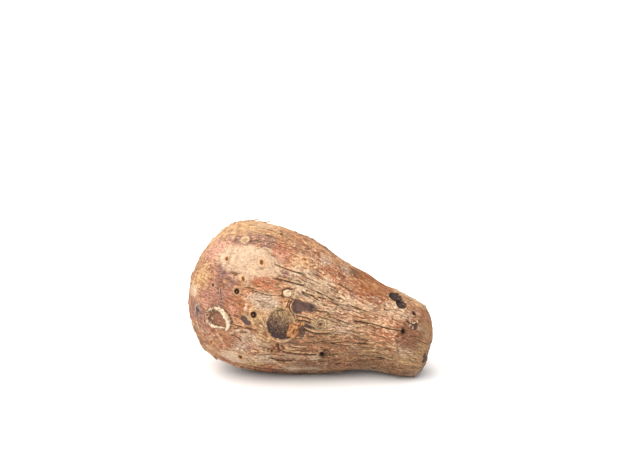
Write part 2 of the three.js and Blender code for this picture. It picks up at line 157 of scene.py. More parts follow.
# Coloured patches of the bark: skin, around, half length, half width, strength.
PATCHES = {
    "cream": [
        (43.4, 44, 9.5, 4.4, 2), (36.6, 41.5, 4.4, 3.6, 1.7), (50, 43, 4, 3.2, 1.7),
        (43.6, 29.6, 3, 2.6, 0.95), (68, 41.5, 5.5, 4.4, 1.7), (76, 43, 3.3, 3.9, 1.5),
        (52.4, -15.8, 4, 1.8, 1.5), (47.4, -40, 4.6, 3.6, 1.4), (47.5, 7.4, 0.45, 1.1, 1.4),
        (59, -34, 4.2, 1.7, 1.7), (70, -28.5, 6, 1.5, 0.8), (80.5, -27.5, 3, 2, 1), (66, 65, 3.5, 4, 0.6),
        (18, 1, 4.4, 2.1, 1), (85, 39, 4.9, 2.6, 1.1), (88, 33, 5, 2.4, 0.9), (74.5, 27.5, 4, 1.6, 1),
        (98, 42, 5.7, 2.7, 0.8), (107.6, 50, 5, 2.6, 1.5), (119.6, 40.5, 1.4, 1, 1.5),
        (81.3, 25.9, 3, 1.4, 0.9), (89.4, 6.6, 5, 2.4, 0.7), (69, -14, 4, 2, 0.7),
        # The cream patch at skin 44, around 88 brightens the top edge: a painted highlight.
        (58, -20, 3.2, 2.1, 0.8), (49, 57, 2, 0.8, 1.1), (69.6, 44, 4.4, 3.4, 1.5), (44, 88, 6, 5, 0.7),
        (88, 30, 3.7, 1.6, 0.7), (60, -28, 4, 3, 0.7), (34, -27, 4, 3, 0.6)],
    # Gold: golden tan, and the patches along the top, at around 79 to 110, that brighten the top edge as a
    # painted highlight.
    "gold": [
        (36, 86, 13, 9, 1.15), (19, 97, 9, 10, 1.1), (22, 20, 6.7, 5.5, 1), (11, 44, 5.4, 2.5, 0.7),
        (44, 110, 6, 14, 0.8), (50, 83, 3, 8, 0.6), (40, 96, 12, 8, 0.9), (115, 110, 8, 12, 0.6),
        (52, 14, 5, 4, 0.6), (60, 92, 14, 4, 0.5), (123, 34, 6, 12, 0.75),
        (50.6, 46, 1.4, 1.8, 1.1), (96, 79, 5, 4, 0.55)],
    "rust": [
        (113, 27, 3.6, 3.4, 1.9), (115.7, 15.8, 3.4, 2.6, 1.9), (116, 30, 4, 5, 1.5), (121, 46, 6, 5, 0.4),
        (119, 66, 6, 6, 0.7), (52, 30.5, 5.1, 2.9, 1), (55, 58.6, 5.4, 4.5, 1.1), (59, 98, 6.3, 10, 0.7),
        (77, 65, 4.8, 5.4, 0.9), (44, 68, 3.2, 4.1, 0.6), (66, 79, 5.3, 8, 0.7), (94, 25, 4.9, 2, 0.7),
        (106, 11, 4.8, 2.8, 1), (47, 20, 3.5, 1.6, 0.6), (56, 49, 4.6, 2.7, 0.7),
        (87, 63, 4.1, 3.5, 0.6), (42, -28, 3.9, 3.7, 0.7), (36, -24, 4.3, 3.6, 0.6),
        (63.4, -22.4, 2.2, 1.5, 1), (45, -49.5, 4, 3, 0.9), (94, 59, 7, 4.5, 0.9), (120, 40, 8, 8, 0.4),
        (118, 24, 5, 5, 0.7), (88, 52, 12, 6, 0.45), (47, -24, 5, 3, 0.5), (50.6, 30.6, 3.6, 2.4, 1.3),
        (98.8, 51, 5, 3.4, 1.2)],
    "orange": [
        (95, 84, 8, 11, 1.1), (103, 80, 3.6, 6, 0.9), (88, 81, 3.6, 7, 0.7), (21, 10, 1.5, 1.7, 1.3),
        (21.6, 21.5, 1.1, 1.3, 1.2), (14, 23.7, 1.3, 1.8, 1), (42.8, 6.5, 4.2, 3.6, 1)],
    "plum": [
        (64, 74, 7, 7, 0.55), (38, 68, 7, 4.8, 1.45), (48.4, 64.5, 2.4, 4, 1.2),
        (58.2, 41.6, 3, 1.7, 1.2), (46, 62, 3.5, 4.7, 0.7), (35, 30, 4.8, 3.4, 0.9),
        (39, 22, 3.8, 2.4, 0.7), (26, -14, 4.4, 3.7, 0.9), (61, 42, 3.5, 2.6, 0.8), (116, 40, 2, 2.6, 0.8),
        (26, 66, 6.4, 9, 0.5), (52, 59, 1.9, 4.2, 0.4), (24, 0, 3, 3, 0.5), (78, -3, 5, 3, 0.4)],
    "rose": [
        (26, 54, 8, 8, 0.7), (34, 9, 7.5, 5.6, 1.1), (32, -20, 6.4, 6.9, 0.7), (42, 8, 4.1, 3.9, 0.6),
        (51, 24, 6.3, 2.4, 0.5), (22, -25, 8, 9, 0.7), (30, 30, 8, 4, 0.6)],
    "grey": [
        (54, 16, 5.1, 2.7, 1.3), (73, 73, 2.8, 3.5, 0.9), (82, 77, 2.4, 2.9, 0.9), (86, 35, 4.1, 2.5, 0.8),
        (115, 0, 4.1, 3.1, 0.7), (90, 9, 3.3, 2.6, 0.5), (98, 56, 2.5, 2.1, 0.6), (116, 65, 2, 1.9, 0.8),
        (88, 14, 7, 4, 0.6), (24.6, -13.4, 2, 2.6, 1), (49.4, -26.5, 2.6, 2.4, 1.3),
        (45.4, -41.2, 3.4, 2.6, 1.2), (88.3, 46, 2.4, 1.6, 1.1)],
    # Umber: dark brown stains, and the broad patches low down towards the belly, from around -14 to -62, that
    # darken the underside as painted shade.
    "umber": [
        (71, 4, 3.2, 2.1, 0.6), (54, 15, 4, 2.2, 0.55), (86, 82, 2.4, 3.2, 1.1), (99, 50, 5, 2.6, 0.6),
        (69.6, -13, 3.2, 1.7, 1.1), (68.5, -33, 6, 1.4, 1.1), (80, -38, 16, 4, 0.8),
        (104, -40, 14, 5, 0.8), (114, 42, 3.3, 4.1, 0.6), (75, -13, 9.1, 2.5, 0.45), (75, -62, 25, 9, 0.7),
        (116, -50, 14, 9, 0.6), (45, -62, 12, 6, 0.5), (98, -14, 20, 9, 0.62),
        (122, 14, 9, 9, 0.55), (119, 38, 9, 14, 0.7), (115.7, 14, 3.4, 2.3, 1.6),
        (113.4, 27, 2.6, 2.8, 1.3), (46, -20, 12, 8, 0.4), (117, 18, 3.6, 3.4, 1.5),
        (116.6, 41, 2.2, 2.4, 0.9), (88.6, 46.4, 1.2, 0.9, 1)],
    "smooth": [
        (30, 20, 17, 17, 1.3), (24, 60, 15, 15, 1.3), (24, -12, 12, 12, 1), (95, 80, 9, 12, 1.05),
        (53, 10, 7, 8, 1.4), (69.4, 20.2, 3.4, 2.6, 2), (44, 44, 12, 7, 1.8), (36, 80, 12, 9, 1.2),
        (34, 97, 14, 12, 1.3), (55, 58.6, 5, 4, 1), (64, 72, 12, 12, 0.8), (70, -20, 5, 2.4, 1.2),
        (52, -17, 5, 3, 0.8), (117, 24, 6, 7, 1.3), (121, 42, 7, 12, 0.8), (70, 44.5, 4, 3.4, 1.2),
        (98.5, 53, 4, 3, 0.9)],
    "fleck": [
        (88, 42, 20, 9, 1.1), (66, 62, 12, 9, 0.9), (100, 25, 12, 7, 0.8), (105, 40, 9, 8, 1.5),
        (70, 35, 14, 5, 0.6), (55, -30, 14, 6, 0.5), (112, 44, 8, 6, 0.5), (46, 80, 12, 9, 0.4)],
    "violet": [
        (67.9, 19.6, 1.75, 1.75, 2.2), (70.6, 21.4, 2.0, 1.15, 2.2), (71.8, 21.8, 4.2, 1.9, 1.05),
        (67.1, 16, 0.8, 0.9, 2), (66.8, 23.6, 0.9, 0.6, 2), (47.9, -0.9, 1.0, 0.8, 1.8),
        # The narrow patch at skin 72.3 just past the flake is dark bark, partly the flake's painted shadow.
        (49.8, -3.3, 1.1, 0.8, 1.8), (72.3, 0.6, 1.0, 2.7, 1.6), (116.9, 39, 1.1, 1.5, 1.4),
        (25.7, -14.6, 1.8, 2.2, 0.9), (73.8, 6, 2.4, 1.2, 1), (128.6, -9.6, 1.6, 1.2, 1.4),
        (127.2, 3.6, 1.3, 0.9, 1.5), (129.6, -2.4, 1.0, 0.7, 1.4)],
    "straw": [
        (54.9, 15, 4.4, 3.2, 1.2), (62.6, 55, 3, 2.4, 0.9), (52, 3, 4, 3.4, 0.9), (56, 0, 1.4, 7, 0.9),
        (79, 11, 5, 4.2, 0.9), (84, 3, 7, 3, 0.7), (76, 6, 4, 4, 0.6), (92, 8, 6, 3, 0.6),
        (58, -14, 5, 3, 0.6), (109.5, 0, 6, 5, 0.7), (55.3, -43, 5, 3, 1), (105, -12, 12, 6, 0.7),
        (70, 40, 5, 3, 0.5), (103, -18, 10, 5, 0.5), (119, -4, 8, 8, 0.8)],
    "blush": [
        (36, 12, 8, 5, 0.45), (28, 54, 7, 7, 1.1), (33, 44, 4, 5, 0.8), (55, 56, 4, 4, 0.7),
        (42, 3, 3, 3, 0.7), (30, -4, 5, 4, 0.5), (48.5, -17.5, 3, 2.4, 1), (53.3, -22.2, 4, 2.4, 0.9),
        (104, 30, 5, 3, 0.6), (85, 24, 4, 2, 0.5)],
    "ink": [],
    "wrinkle": [
        (64, 42, 18, 9, 0.7), (82, 30, 16, 10, 0.75), (52, 60, 12, 9, 0.3), (74, 0, 14, 9, 0.9),
        (60, -24, 16, 6, 0.7), (100, 38, 12, 10, 0.7), (98, 0, 16, 9, 0.5), (95, -30, 22, 7, 0.55),
        (75, 75, 14, 9, 0.6)],
}
# Narrow stains and drawn lines, by family: route, half width, strength. Some dark lines are painted shadows.
STREAKS = {
    "plum": [
        ([(33.1, 24.2), (34, 17.9), (35.4, 11.4), (36.5, 7.6), (38, 3.6)], 0.6, 1.4),
    ],
    # Dark lines: cracks, and painted shadows at the feet of raised bark, the first outside the collar's lip
    # and the second round the frayed bit's edge.
    "ink": [
        ([(38.6, 1.4), (40.3, 0.2), (42.2, -2.3), (43.8, -6.4)], 0.35, 1.2),
        ([(61.2, 23), (60, 24.7), (60, 28.3), (61.6, 31), (63.4, 31.4)], 0.3, 1.3),
        ([(82.8, -17.8), (84.8, -18), (85.7, -21.6), (85.2, -26)], 0.22, 1.1),
        ([(83.4, -19.4), (84.4, -21.8), (83.8, -25.4)], 0.15, 1),
        ([(43.8, -7.7), (46.1, -7.3), (50.8, -7.3), (53.5, -8.1)], 0.3, 1.2),
        ([(47.5, -12.4), (50.2, -11.2)], 0.3, 1),
        ([(44.7, -17.1), (46.2, -16.9), (47.7, -18), (48.9, -19.7)], 0.35, 1.3),
        ([(60.4, -23.6), (61.4, -22.2), (62.6, -21.8)], 0.3, 1.3),
        ([(54, 46.6), (58.8, 46.3), (62.4, 46.3), (65.9, 47.9)], 0.3, 1.1),
        ([(55.8, 35), (60.3, 36.4), (64.2, 36.6), (67.8, 38.1)], 0.35, 1.25),
        ([(67.2, 32.1), (70.7, 31.9), (74.5, 32.8), (77.9, 33.6)], 0.28, 1),
        ([(67.8, 52.1), (72.7, 53.2)], 0.25, 1),
        ([(74.2, 49.9), (78, 48.6), (81.8, 47.1)], 0.3, 1.1),
        ([(62.6, -33.3), (64.7, -34.6), (67.5, -35), (70.9, -34.4)], 0.35, 1.1),
        ([(63.4, -16), (64, -19.4), (65.6, -23.2), (68.4, -24.8), (72, -24.6), (76, -24), (80, -23)],
         0.4, 1.5),
        ([(65.2, -17.6), (66.4, -20.4), (69.4, -21.2), (75, -20.6)], 0.25, 1.3),
        ([(53.5, -31.9), (56, -31), (58.5, -29.6), (62.1, -28.3)], 0.25, 1.1),
        ([(68.3, 8.4), (69.9, 8.5), (72, 9.4), (74.4, 8.6)], 0.25, 1.2),
        ([(72, 2.3), (73.7, 1.6), (76.5, 0.3), (79.2, 0.1), (83, 0.8)], 0.3, 1.3),
        ([(73.5, 4.4), (76.2, 4.1), (78.9, 4), (81, 4.5)], 0.22, 1.1),
        ([(68, 31), (69.8, 30.2), (71.8, 29.9), (73.7, 30.2), (76.7, 30.7)], 0.22, 1),
        ([(92.8, 20.8), (97.4, 22.4), (101.7, 22.9), (105.6, 22.4), (108.8, 23.8), (112.5, 26)], 0.35, 1.5),
        ([(116.4, 23.2), (118.8, 25.5), (122.5, 28.7)], 0.3, 0.9),
        ([(113.4, 47.5), (113.6, 42.5), (115.2, 38.2)], 0.4, 1.3),
    ],
    "cream": [
        ([(59, 13.5), (57.1, 8.5), (56.2, 3.5), (56.3, -3.1), (57.3, -8)], 0.3, 0.9),
        ([(47.2, -10.5), (45.6, -13.2), (44.2, -16)], 0.5, 1.1),
    ],
    "rust": [
        ([(59.2, -25.4), (61.6, -25.6)], 0.6, 1.6),
        ([(115.4, 22.6), (118.8, 25.5), (122.5, 28.7), (127, 39)], 0.8, 1.5),
    ],
    "orange": [
        ([(62.7, -23.4), (64.4, -24)], 0.7, 1.1),
        ([(48.9, 43.8), (49.9, 45.6), (49.2, 47.4)], 0.7, 1.0),
        ([(33.7, 40), (34.1, 38)], 0.6, 0.9),
    ],
    "umber": [
        ([(63, -33), (70, -33.6), (82, -31)], 0.8, 1),
    ],
    "straw": [
        ([(110.3, 53.2), (110.9, 38.2), (110.8, 23.3), (112.3, 9.5), (113.4, 5.4)], 0.8, 1.3),
    ],
}
# How many patches of each kind lie on the sides that are turned away, and the ranges that their skin, around,
# half length, half width and strength are drawn from.
FAR_PATCHES = {"cream": 15, "gold": 8, "rust": 15, "orange": 4, "plum": 10, "rose": 7, "grey": 8, "umber": 7,
               "smooth": 8, "fleck": 9, "wrinkle": 16, "violet": 6, "straw": 9, "blush": 6, "ink": 0}
FAR_RANGES = [(12, 126), (112, 312), (3, 10), (2.5, 7), (0.5, 1)]
# Torn edges of the bark seen from the front: the route's places, half width, height, the torn side, where the
# dark foot with its painted shadow lies, and how clearly it is drawn.
TORN_EDGES = [
    ([(65.6, 24.6), (64.9, 21), (64.8, 18.4), (65.5, 15.7), (66.8, 13.6), (67.9, 11.2), (68.3, 8.4)],
     0.8, 0.8, -1, 1.1),
    ([(63.3, 23.4), (62.9, 20), (62.8, 17.4), (63, 15)], 0.7, 0.7, 1, 1),
    ([(67.3, 13), (69.6, 13.2), (71.6, 13.9), (73.4, 13.3), (75.4, 12.4)], 0.85, 0.65, -1, 1.1),
    ([(68.3, 9.7), (69.9, 9.9), (72, 10.6), (74.8, 10.4)], 0.7, 0.45, -1, 0.8),
    ([(67.2, 33.2), (70.7, 33), (74.5, 33.8), (77.9, 34.6)], 0.85, 0.55, -1, 1),
    ([(68.6, 35.4), (72, 35.4), (74.2, 35.2), (76, 35.2)], 0.8, 0.45, -1, 0.6),
    ([(72, 4.3), (73.7, 3.5), (76.5, 2.2), (79.2, 2.1), (82.3, 2.8), (84.3, 4.1)], 0.85, 0.65, -1, 1),
    ([(72.6, 7.6), (74.4, 7.3), (76, 6.6), (78, 5.6)], 0.5, 0.35, -1, 0.8),
    ([(79.4, 4.9), (80.9, 5.2), (82.8, 5)], 0.5, 0.3, -1, 0.6),
    ([(60.4, 15.6), (58.4, 12.5), (56.9, 8.5), (56.1, 3.5), (56.2, -3.1), (57.2, -8), (59, -12.9)],
     0.36, 0.2, 1, 0.75),
    ([(68, -8.8), (69.6, -7), (72.1, -5.9), (74.2, -5.8)], 0.7, 0.28, -1, 0.9),
    ([(43.9, -6.9), (47.5, -6.4), (51.2, -6.2), (54.8, -6.5)], 0.8, 0.36, -1, 1.2),
    ([(44.2, -11.1), (45.8, -8.9), (46.8, -7.5)], 0.6, 0.4, -1, 0.6),
    ([(43.6, 22.6), (45.4, 23.4), (47.4, 24), (49.4, 23)], 0.7, 0.45, -1, 0.6),
    ([(53, 49), (55.7, 47.7), (58.5, 47.8), (61.5, 48.2)], 0.7, 0.4, -1, 0.6),
    ([(53.4, 47.8), (56, 47.5), (58.9, 47.4), (62.4, 47.4), (65.4, 48.8)], 0.7, 0.45, -1, 0.8),
    ([(79.8, 20.1), (83.5, 19.2), (87.2, 18.6), (90.5, 17), (92.5, 17.6)], 0.8, 0.5, -1, 0.6),
    ([(73.5, 20.8), (75.9, 21.9), (79.7, 23.3), (82, 22.6)], 0.7, 0.4, -1, 0.6),
    ([(89.2, -4.8), (90.9, -4.5), (92.9, -3.7)], 0.6, 0.24, -1, 0.9),
    ([(89.1, -8.2), (91.2, -8.8), (94.1, -7.8)], 0.6, 0.24, -1, 0.9),
    ([(92.8, 7.7), (94.4, 7.9), (97, 9)], 0.5, 0.35, -1, 0.6),
    ([(91, 21.4), (97.4, 23.2), (101.7, 23.7), (105.6, 23), (108.8, 24.6), (112.5, 26.9)],
     0.8, 0.6, -1, 1.1),
    ([(112.9, 45.8), (113.9, 44), (115.1, 40.5), (116.1, 37.9)], 0.8, 0.65, -1, 0.6),
    ([(44.7, 56.4), (46.3, 55.6), (48.2, 55.6), (50, 54), (53.5, 53.4)], 0.6, 0.4, 1, 0.6),
    ([(55.6, 36), (60.1, 37.3), (63.9, 37.7), (68.2, 39.2)], 0.8, 0.5, -1, 1),
    ([(38.8, 28.5), (40, 31.2), (40.9, 32.3)], 0.5, 0.35, -1, 0.6),
    ([(64.4, -14), (64.7, -18), (65.8, -21), (68, -22.2), (71, -22), (75, -21.6), (80, -21)],
     1.0, 0.34, -1, 1.3),
    ([(65.8, -15.4), (66.8, -18), (68.6, -19.2), (71.6, -18.8), (75.4, -18.4)], 0.9, 0.28, -1, 1.2),
    ([(68.4, -14.6), (70.6, -15.4), (73.4, -14.8), (76, -14.4)], 0.8, 0.24, -1, 1),
    ([(46.5, 22.2), (50.8, 22.2), (53.6, 22), (58, 23.2)], 0.7, 0.4, -1, 0.6),
    ([(67, 37.6), (71, 37.4), (76.5, 37.5), (80.6, 36)], 0.7, 0.45, -1, 0.6),
    ([(75.6, 17.5), (81.7, 16.5), (85.7, 15.2), (89.7, 14.2)], 0.7, 0.4, -1, 0.6),
    ([(117.4, 23.5), (121, 25.5), (125.5, 32), (130, 46)], 0.6, 0.35, -1, 0.45),
    ([(63.8, 53), (67.6, 53.4), (71.1, 52.3), (75.7, 52.1)], 0.6, 0.4, -1, 0.6),
    ([(78.1, 33.6), (83.3, 32.8), (87.9, 30.4)], 0.6, 0.4, -1, 0.6),
    ([(33.4, 20), (34.4, 16.5), (35.6, 11.4), (36.8, 7.4), (38.4, 3.4)], 0.45, 0.3, 1, 0.8),
]
# The finer discs over the scars: their reach in shares of the scar's size, and how deep the skin lies below.
SCAR_DISC = 1.5
BOWL_DISC = 1.3
SCAR_BED = 0.35
BOWL_BED = 0.3
# The masks that the meshes carry to the bark's material, three in an attribute: those of the patches first.
TONES = {
    "tones_a": ("cream", "rust", "plum"), "tones_b": ("orange", "grey", "rose"),
    "tones_c": ("gold", "umber", "skin"), "tones_d": ("fleck", "wrinkle", "smooth"),
    "tones_e": ("violet", "straw", "blush"),
}
MASKS = {
    **TONES, "lines": ("cracks", "lips", "rings"), "relief": ("valley", "layer", "collar"),
    "scar": ("scar across", "scar along", "scar near"), "scar_sizes": ("hole", "paleness", "stain"),
    "bowl": ("bowl across", "bowl along", "bowl dark"),
}


def srgb(text):
    """Linear red, green, blue and alpha of an sRGB hex colour."""
    values = [int(text[k:k + 2], 16) / 255 for k in (1, 3, 5)]
    linear = [v / 12.92 if v <= 0.04045 else ((v + 0.055) / 1.055) ** 2.4 for v in values]
    return (*linear, 1.0)


def smooth_step(start, end, value):
    """0 before start, 1 after end, and 3t^2 - 2t^3 between; start may be the larger."""
    share = np.clip((value - start) / (end - start), 0, 1)
    return share * share * (3 - 2 * share)


def fraction(value):
    return value - np.floor(value)


def turn_between(around, middle):
    """Signed angle in degrees from middle to around, the short way."""
    return (around - middle + 180) % 360 - 180


def across_mm(around, middle, radius):
    """Signed distance in mm round the corm from middle to around."""
    return turn_between(around, middle) * radius * math.pi / 180


def degrees_of(across, radius):
    """The angle in degrees that a distance in mm round the corm takes up."""
    return across / radius * 180 / math.pi


def bell(value, middle, width):
    """exp(-((value - middle) / width)^2)."""
    return np.exp(-((value - middle) / width) ** 2)


def smooth_curve(points, share):
    """Uniform Catmull-Rom curve through the points, at shares 0 to 1 of its pieces."""
    pieces = len(points) - 1
    place = np.clip(share, 0, 1) * pieces
    piece = np.minimum(place.astype(int), pieces - 1)
    t = (place - piece)[..., None]
    here, there = points[piece], points[piece + 1]
    pull_here = (there - points[np.maximum(piece - 1, 0)]) / 2
    pull_there = (points[np.minimum(piece + 2, pieces)] - here) / 2
    cubic = 2 * here - 2 * there + pull_here + pull_there
    square = -3 * here + 3 * there - 2 * pull_here - pull_there
    return cubic * t ** 3 + square * t ** 2 + pull_here * t + here


OUTLINE = smooth_curve(PROFILE, np.linspace(0, 1, 6001))
OUTLINE_SKIN = np.concatenate([[0], np.cumsum(np.hypot(*np.diff(OUTLINE, axis=0).T))])
SKIN_LENGTH = OUTLINE_SKIN[-1]


# The hash of a corner: a factor for each of its coordinates, for the seed and for mixing, and the bits from
# which the three slopes are read.
CORNER_PRIMES = np.array([73856093, 19349663, 83492791])
SEED_PRIME = 2654435761
MIXING_PRIME = 1274126177
SLOPE_BITS = np.array([3, 11, 19])


def lattice_noise(points, seed):
    """Gradient noise in about -1 to 1: at each corner of the unit cell a direction is drawn from a hash
    of the corner, and the eight slopes are blended with 6t^5 - 15t^4 + 10t^3."""
    cell = np.floor(points).astype(np.int64)
    local = points - cell
    blend = local ** 3 * (local * (local * 6 - 15) + 10)
    total = np.zeros(points.shape[:-1])
    for corner in itertools.product((0, 1), repeat=3):
        at = (cell + corner) & 0xFFFF
        code = np.bitwise_xor.reduce(at * CORNER_PRIMES, -1) ^ (seed * SEED_PRIME)
        code = ((code ^ (code >> 13)) * MIXING_PRIME) & 0x7FFFFFFF
        slopes = (code[..., None] >> SLOPE_BITS & 255) / 127.5 - 1
        weight = np.prod(np.where(corner, blend, 1 - blend), -1)
        total += weight * ((local - corner) * slopes).sum(-1)
    return total * 1.6


def layered_noise(points, seed, layers=4):
    """Sum of noises, each of twice the fineness and half the height of the one before."""
    return sum(lattice_noise(points * 2 ** k, seed + k) / 2 ** k for k in range(layers)) / 1.5


def axis_at(skin):
    """How far along the axis a skin distance is."""
    return np.interp(skin, OUTLINE_SKIN, OUTLINE[:, 0])


def radius_at(skin):
    """The outline's radius at a skin distance."""
    return np.interp(skin, OUTLINE_SKIN, OUTLINE[:, 1])


def body_point(skin, around):
    """Smooth body: the outline's radius times 1 + sum of cosine lobes, about the lifted centre."""
    along, radius = axis_at(skin), radius_at(skin)
    angle = np.radians(around)
    share = 1 + sum(size * np.cos(waves * angle + start + along * drift)
                    for waves, size, start, drift in LOBES)
    lift = np.interp(along, CENTRE_LIFT[:, 0], CENTRE_LIFT[:, 1])
    up = np.sin(angle) * radius * share + lift
    return np.stack([along + 0 * angle, -np.cos(angle) * radius * share, up], -1)


def skin_frame(skin, around):
    """Point and outward normal, by small steps both ways over the body."""
    inner = np.clip(skin, 0.6, SKIN_LENGTH - 0.6)
    along = body_point(inner + 0.3, around) - body_point(inner - 0.3, around)
    sideways = body_point(inner, around + 1) - body_point(inner, around - 1)
    normal = np.cross(sideways, along)
    normal /= np.linalg.norm(normal, axis=-1, keepdims=True)
    angle = np.radians(around)
    outward = np.stack([0 * angle, -np.cos(angle), np.sin(angle)], -1)
    outward = np.where((skin < 1)[..., None], [-1, 0, 0], outward)
    outward = np.where((skin > SKIN_LENGTH - 1)[..., None], [1, 0, 0], outward)
    return body_point(skin, around), normal * np.sign((normal * outward).sum(-1, keepdims=True))


def laid_down(points):
    """From the corm's own axis to the ground: turned about Y by the axis fall, shifted, and in metres."""
    fall = math.radians(AXIS_FALL_DEG)
    x = points[..., 0] * math.cos(fall) + points[..., 2] * math.sin(fall)
    z = -points[..., 0] * math.sin(fall) + points[..., 2] * math.cos(fall)
    placed = np.stack([x, points[..., 1], z], -1) + LAID_DOWN_SHIFT
    placed[..., 2] = np.maximum(placed[..., 2], 0)
    return placed / 1000


def far_root_scars():
    """Root scars on the hidden sides: a spiral rule with the golden share, none under the belly."""
    scars = []
    for k in range(FAR_ROOT_SCARS):
        skin = 17 + 104 * fraction(k * GOLDEN_SHARE + 0.31)
        around = 104 + 206 * ((k + 0.5) / FAR_ROOT_SCARS)
        size = 1.3 + 0.9 * fraction(k * PLASTIC_SHARE + 0.2)
        if abs(around - 270) >= 24 or skin <= 40:
            look = ("hole", "smudge", "blotch", "smudge", "rings")[k % 5]
            scars.append((skin, around, size, 0.22, size * 0.45, size * 0.6, look))
    return scars


ALL_ROOT_SCARS = ROOT_SCARS + far_root_scars()

# The grain parts round these: skin, around, reach along, reach across, strength.
GRAIN_PARTS = [
    (63, 0.5, 9, 10, 0.75), (37.6, -9.6, 8, 8, 0.6), (78.9, 9.4, 5, 4, 0.6), (107.1, 73, 5, 6, 0.6),
    (71, 196, 9, 9, 0.7), (45, 291, 7, 7, 0.6), (97, 232, 5, 5, 0.6),
]


def bowed(label, skin):
    """Where the grain line with this label runs: it is pushed away from each large scar's middle by
    strength * exp(-(ds/reach)^2 - (dv/reach)^2) times its distance from it."""
    radius = np.maximum(radius_at(skin), 1)
    moved = label + 0 * skin
    for middle, around, reach_along, reach_across, strength in GRAIN_PARTS:
        across = across_mm(label, around, radius)
        push = strength * np.exp(-((skin - middle) / reach_along) ** 2 - (across / reach_across) ** 2)
        moved = moved + degrees_of(across * push, radius)
    return moved


def label_of(around, skin):
    """The label of the grain line through a place: the bowing undone by repeated correction."""
    label = around + 0 * skin
    for _ in range(4):
        label = label + turn_between(around, bowed(label, skin))
    return label


def grain_point(skin, around, reference=25.0):
    """Coordinates that follow the grain: a circle of fixed radius for the label, and the skin distance."""
    label = np.radians(label_of(around, skin))
    return np.stack([reference * np.cos(label), reference * np.sin(label), skin + 0 * label], -1)


def fissure_label(index, skin):
    """Label of a fissure. Even ones are the solid's own, and odd ones run between two of them."""
    def main_label(number):
        own = fraction((number % FISSURES + 1) * GOLDEN_SHARE)
        wander = 2.6 * np.sin(skin / (9 + 6 * own) + 20 * own) + 1.8 * np.sin(skin / 21 + 9 * own)
        return FIRST_FISSURE_DEG + 360 * number / FISSURES + wander * smooth_step(10, 40, skin)
    if index % 2 == 0:
        return main_label(index // 2)
    own = fraction((index + 1) * PLASTIC_SHARE)
    between = (main_label(index // 2) + main_label(index // 2 + 1)) / 2
    return between + 1.3 * np.sin(skin / (7 + 5 * own) + 20 * own) * smooth_step(10, 40, skin)


def dashes(rng, start, end, longest, gap):
    """Knots of a line that opens and closes: depth 0 at each end of a dash and 0.45 to 1 in its middle."""
    knots, depths = [start], [0.0]
    place = start + rng.uniform(0, gap)
    while place < end:
        length = rng.uniform(0.25, 1) * longest
        strength = rng.uniform(0.45, 1)
        knots += [place, place + length * 0.2, place + length * 0.55, place + length]
        depths += [0.0, strength * 0.8, strength, 0.0]
        place += length + rng.uniform(0.2, 1) * gap
    return np.array(knots), np.array(depths)


# The main fissures and those between them: longest dash and gap in mm, strength, and range of half widths.
FISSURE_KINDS = [(15, 5, 1, (0.3, 0.45)), (9, 8, 0.7, (0.2, 0.32))]


def fissure_depths():
    """For each of the main and in-between fissures, its knots, its depths, half width and lip shares."""
    rng = np.random.default_rng(SEEDS["fissures"])
    lines = []
    for index in range(2 * FISSURES):
        longest, gap, strength, widths = FISSURE_KINDS[index % 2]
        knots, depths = dashes(rng, FISSURES_START - 8, FISSURES_END + 4, longest, gap)
        half_width = rng.uniform(*widths)
        lines.append((knots, depths * strength, half_width, rng.uniform(0.1, 0.55), rng.uniform(0.1, 0.4)))
    return lines


FISSURE_LINES = fissure_depths()


def ring_height(skin, around, noise):
    """Steps at the leaf scars and the cap's ring, uneven round the corm. Also the shade of the dark lines at
    their feet, and the pale broken lip on the cap's ring."""
    angle = np.radians(around)
    total = 0
    shade = 0
    for index, base in enumerate(LEAF_SCAR_SKIN):
        wave = np.sin(angle * 2 + index * 1.7) + 0.5 * np.sin(angle * 3 + index * 2.9)
        past = skin - base - LEAF_SCAR_WAVE * wave * smooth_step(0, 20, np.float64(base)) + 0.5 * noise
        total = total + np.interp(past, RING_PLACES, RING_SHAPE) * RING_STEP * (0.75 + 0.5 * noise)
        shade = shade + bell(past, *RING_LINE) * (0.55 + 0.6 * noise)
    slant = CAP_RING["slant"] * np.cos(np.radians(around - CAP_RING["furthest"]))
    past = skin - CAP_RING["skin"] - slant + 4 * noise
    total = total + np.interp(past, RING_PLACES, RING_SHAPE) * RING_STEP
    shade = shade + 0.8 * bell(past, *RING_LINE)
    return total, np.clip(shade, 0, 1), bell(past, -0.4, 0.5) * np.clip(0.6 + 3 * noise, 0, 1)


def scar_fields(skin, around):
    """Relief of the root scars: a raised ring round a pit with a knob in it. Also the place within the
    nearest one in shares of its rim radius with a mask that is 1 near it, its hole's share, paleness and
    stain, and the bed, 1 where the finer disc of the scar covers the skin."""
    radius = radius_at(skin)
    height = np.zeros(skin.shape)
    bed = np.zeros(skin.shape)
    nearest = np.full(skin.shape, 9.0)
    place = np.full(skin.shape + (3,), 9.0)
    sizes = np.full(skin.shape + (3,), 0.3)
    for at, turn, rim, rise, hole, depth, look in ALL_ROOT_SCARS:
        *tones, lean = SCAR_LOOKS[look]
        along = (skin - at) / rim
        across = across_mm(around, turn, radius) / rim + lean * along
        along = along * (1 + 0.7 * lean)
        away = np.hypot(across, along)
        height += rise * bell(away, 0.8, 0.24) - 0.12 * bell(away, 1.25, 0.2)
        height -= depth * smooth_step(hole / rim * 1.2, hole / rim * 0.6, away)
        from_knob = np.hypot(across + 0.2 * along, along * 1.7) * rim
        height += 0.6 * depth * bell(from_knob, 0, 0.35 * hole + 0.01)
        bed = np.maximum(bed, smooth_step(SCAR_DISC * 1.02, SCAR_DISC * 0.85, away))
        closer = away < nearest
        nearest = np.where(closer, away, nearest)
        place[closer] = np.stack([across, along, smooth_step(1.7, 1.5, away)], -1)[closer]
        sizes[closer] = (max(hole, 0.02) / rim, *tones)
    return height, place, sizes, bed


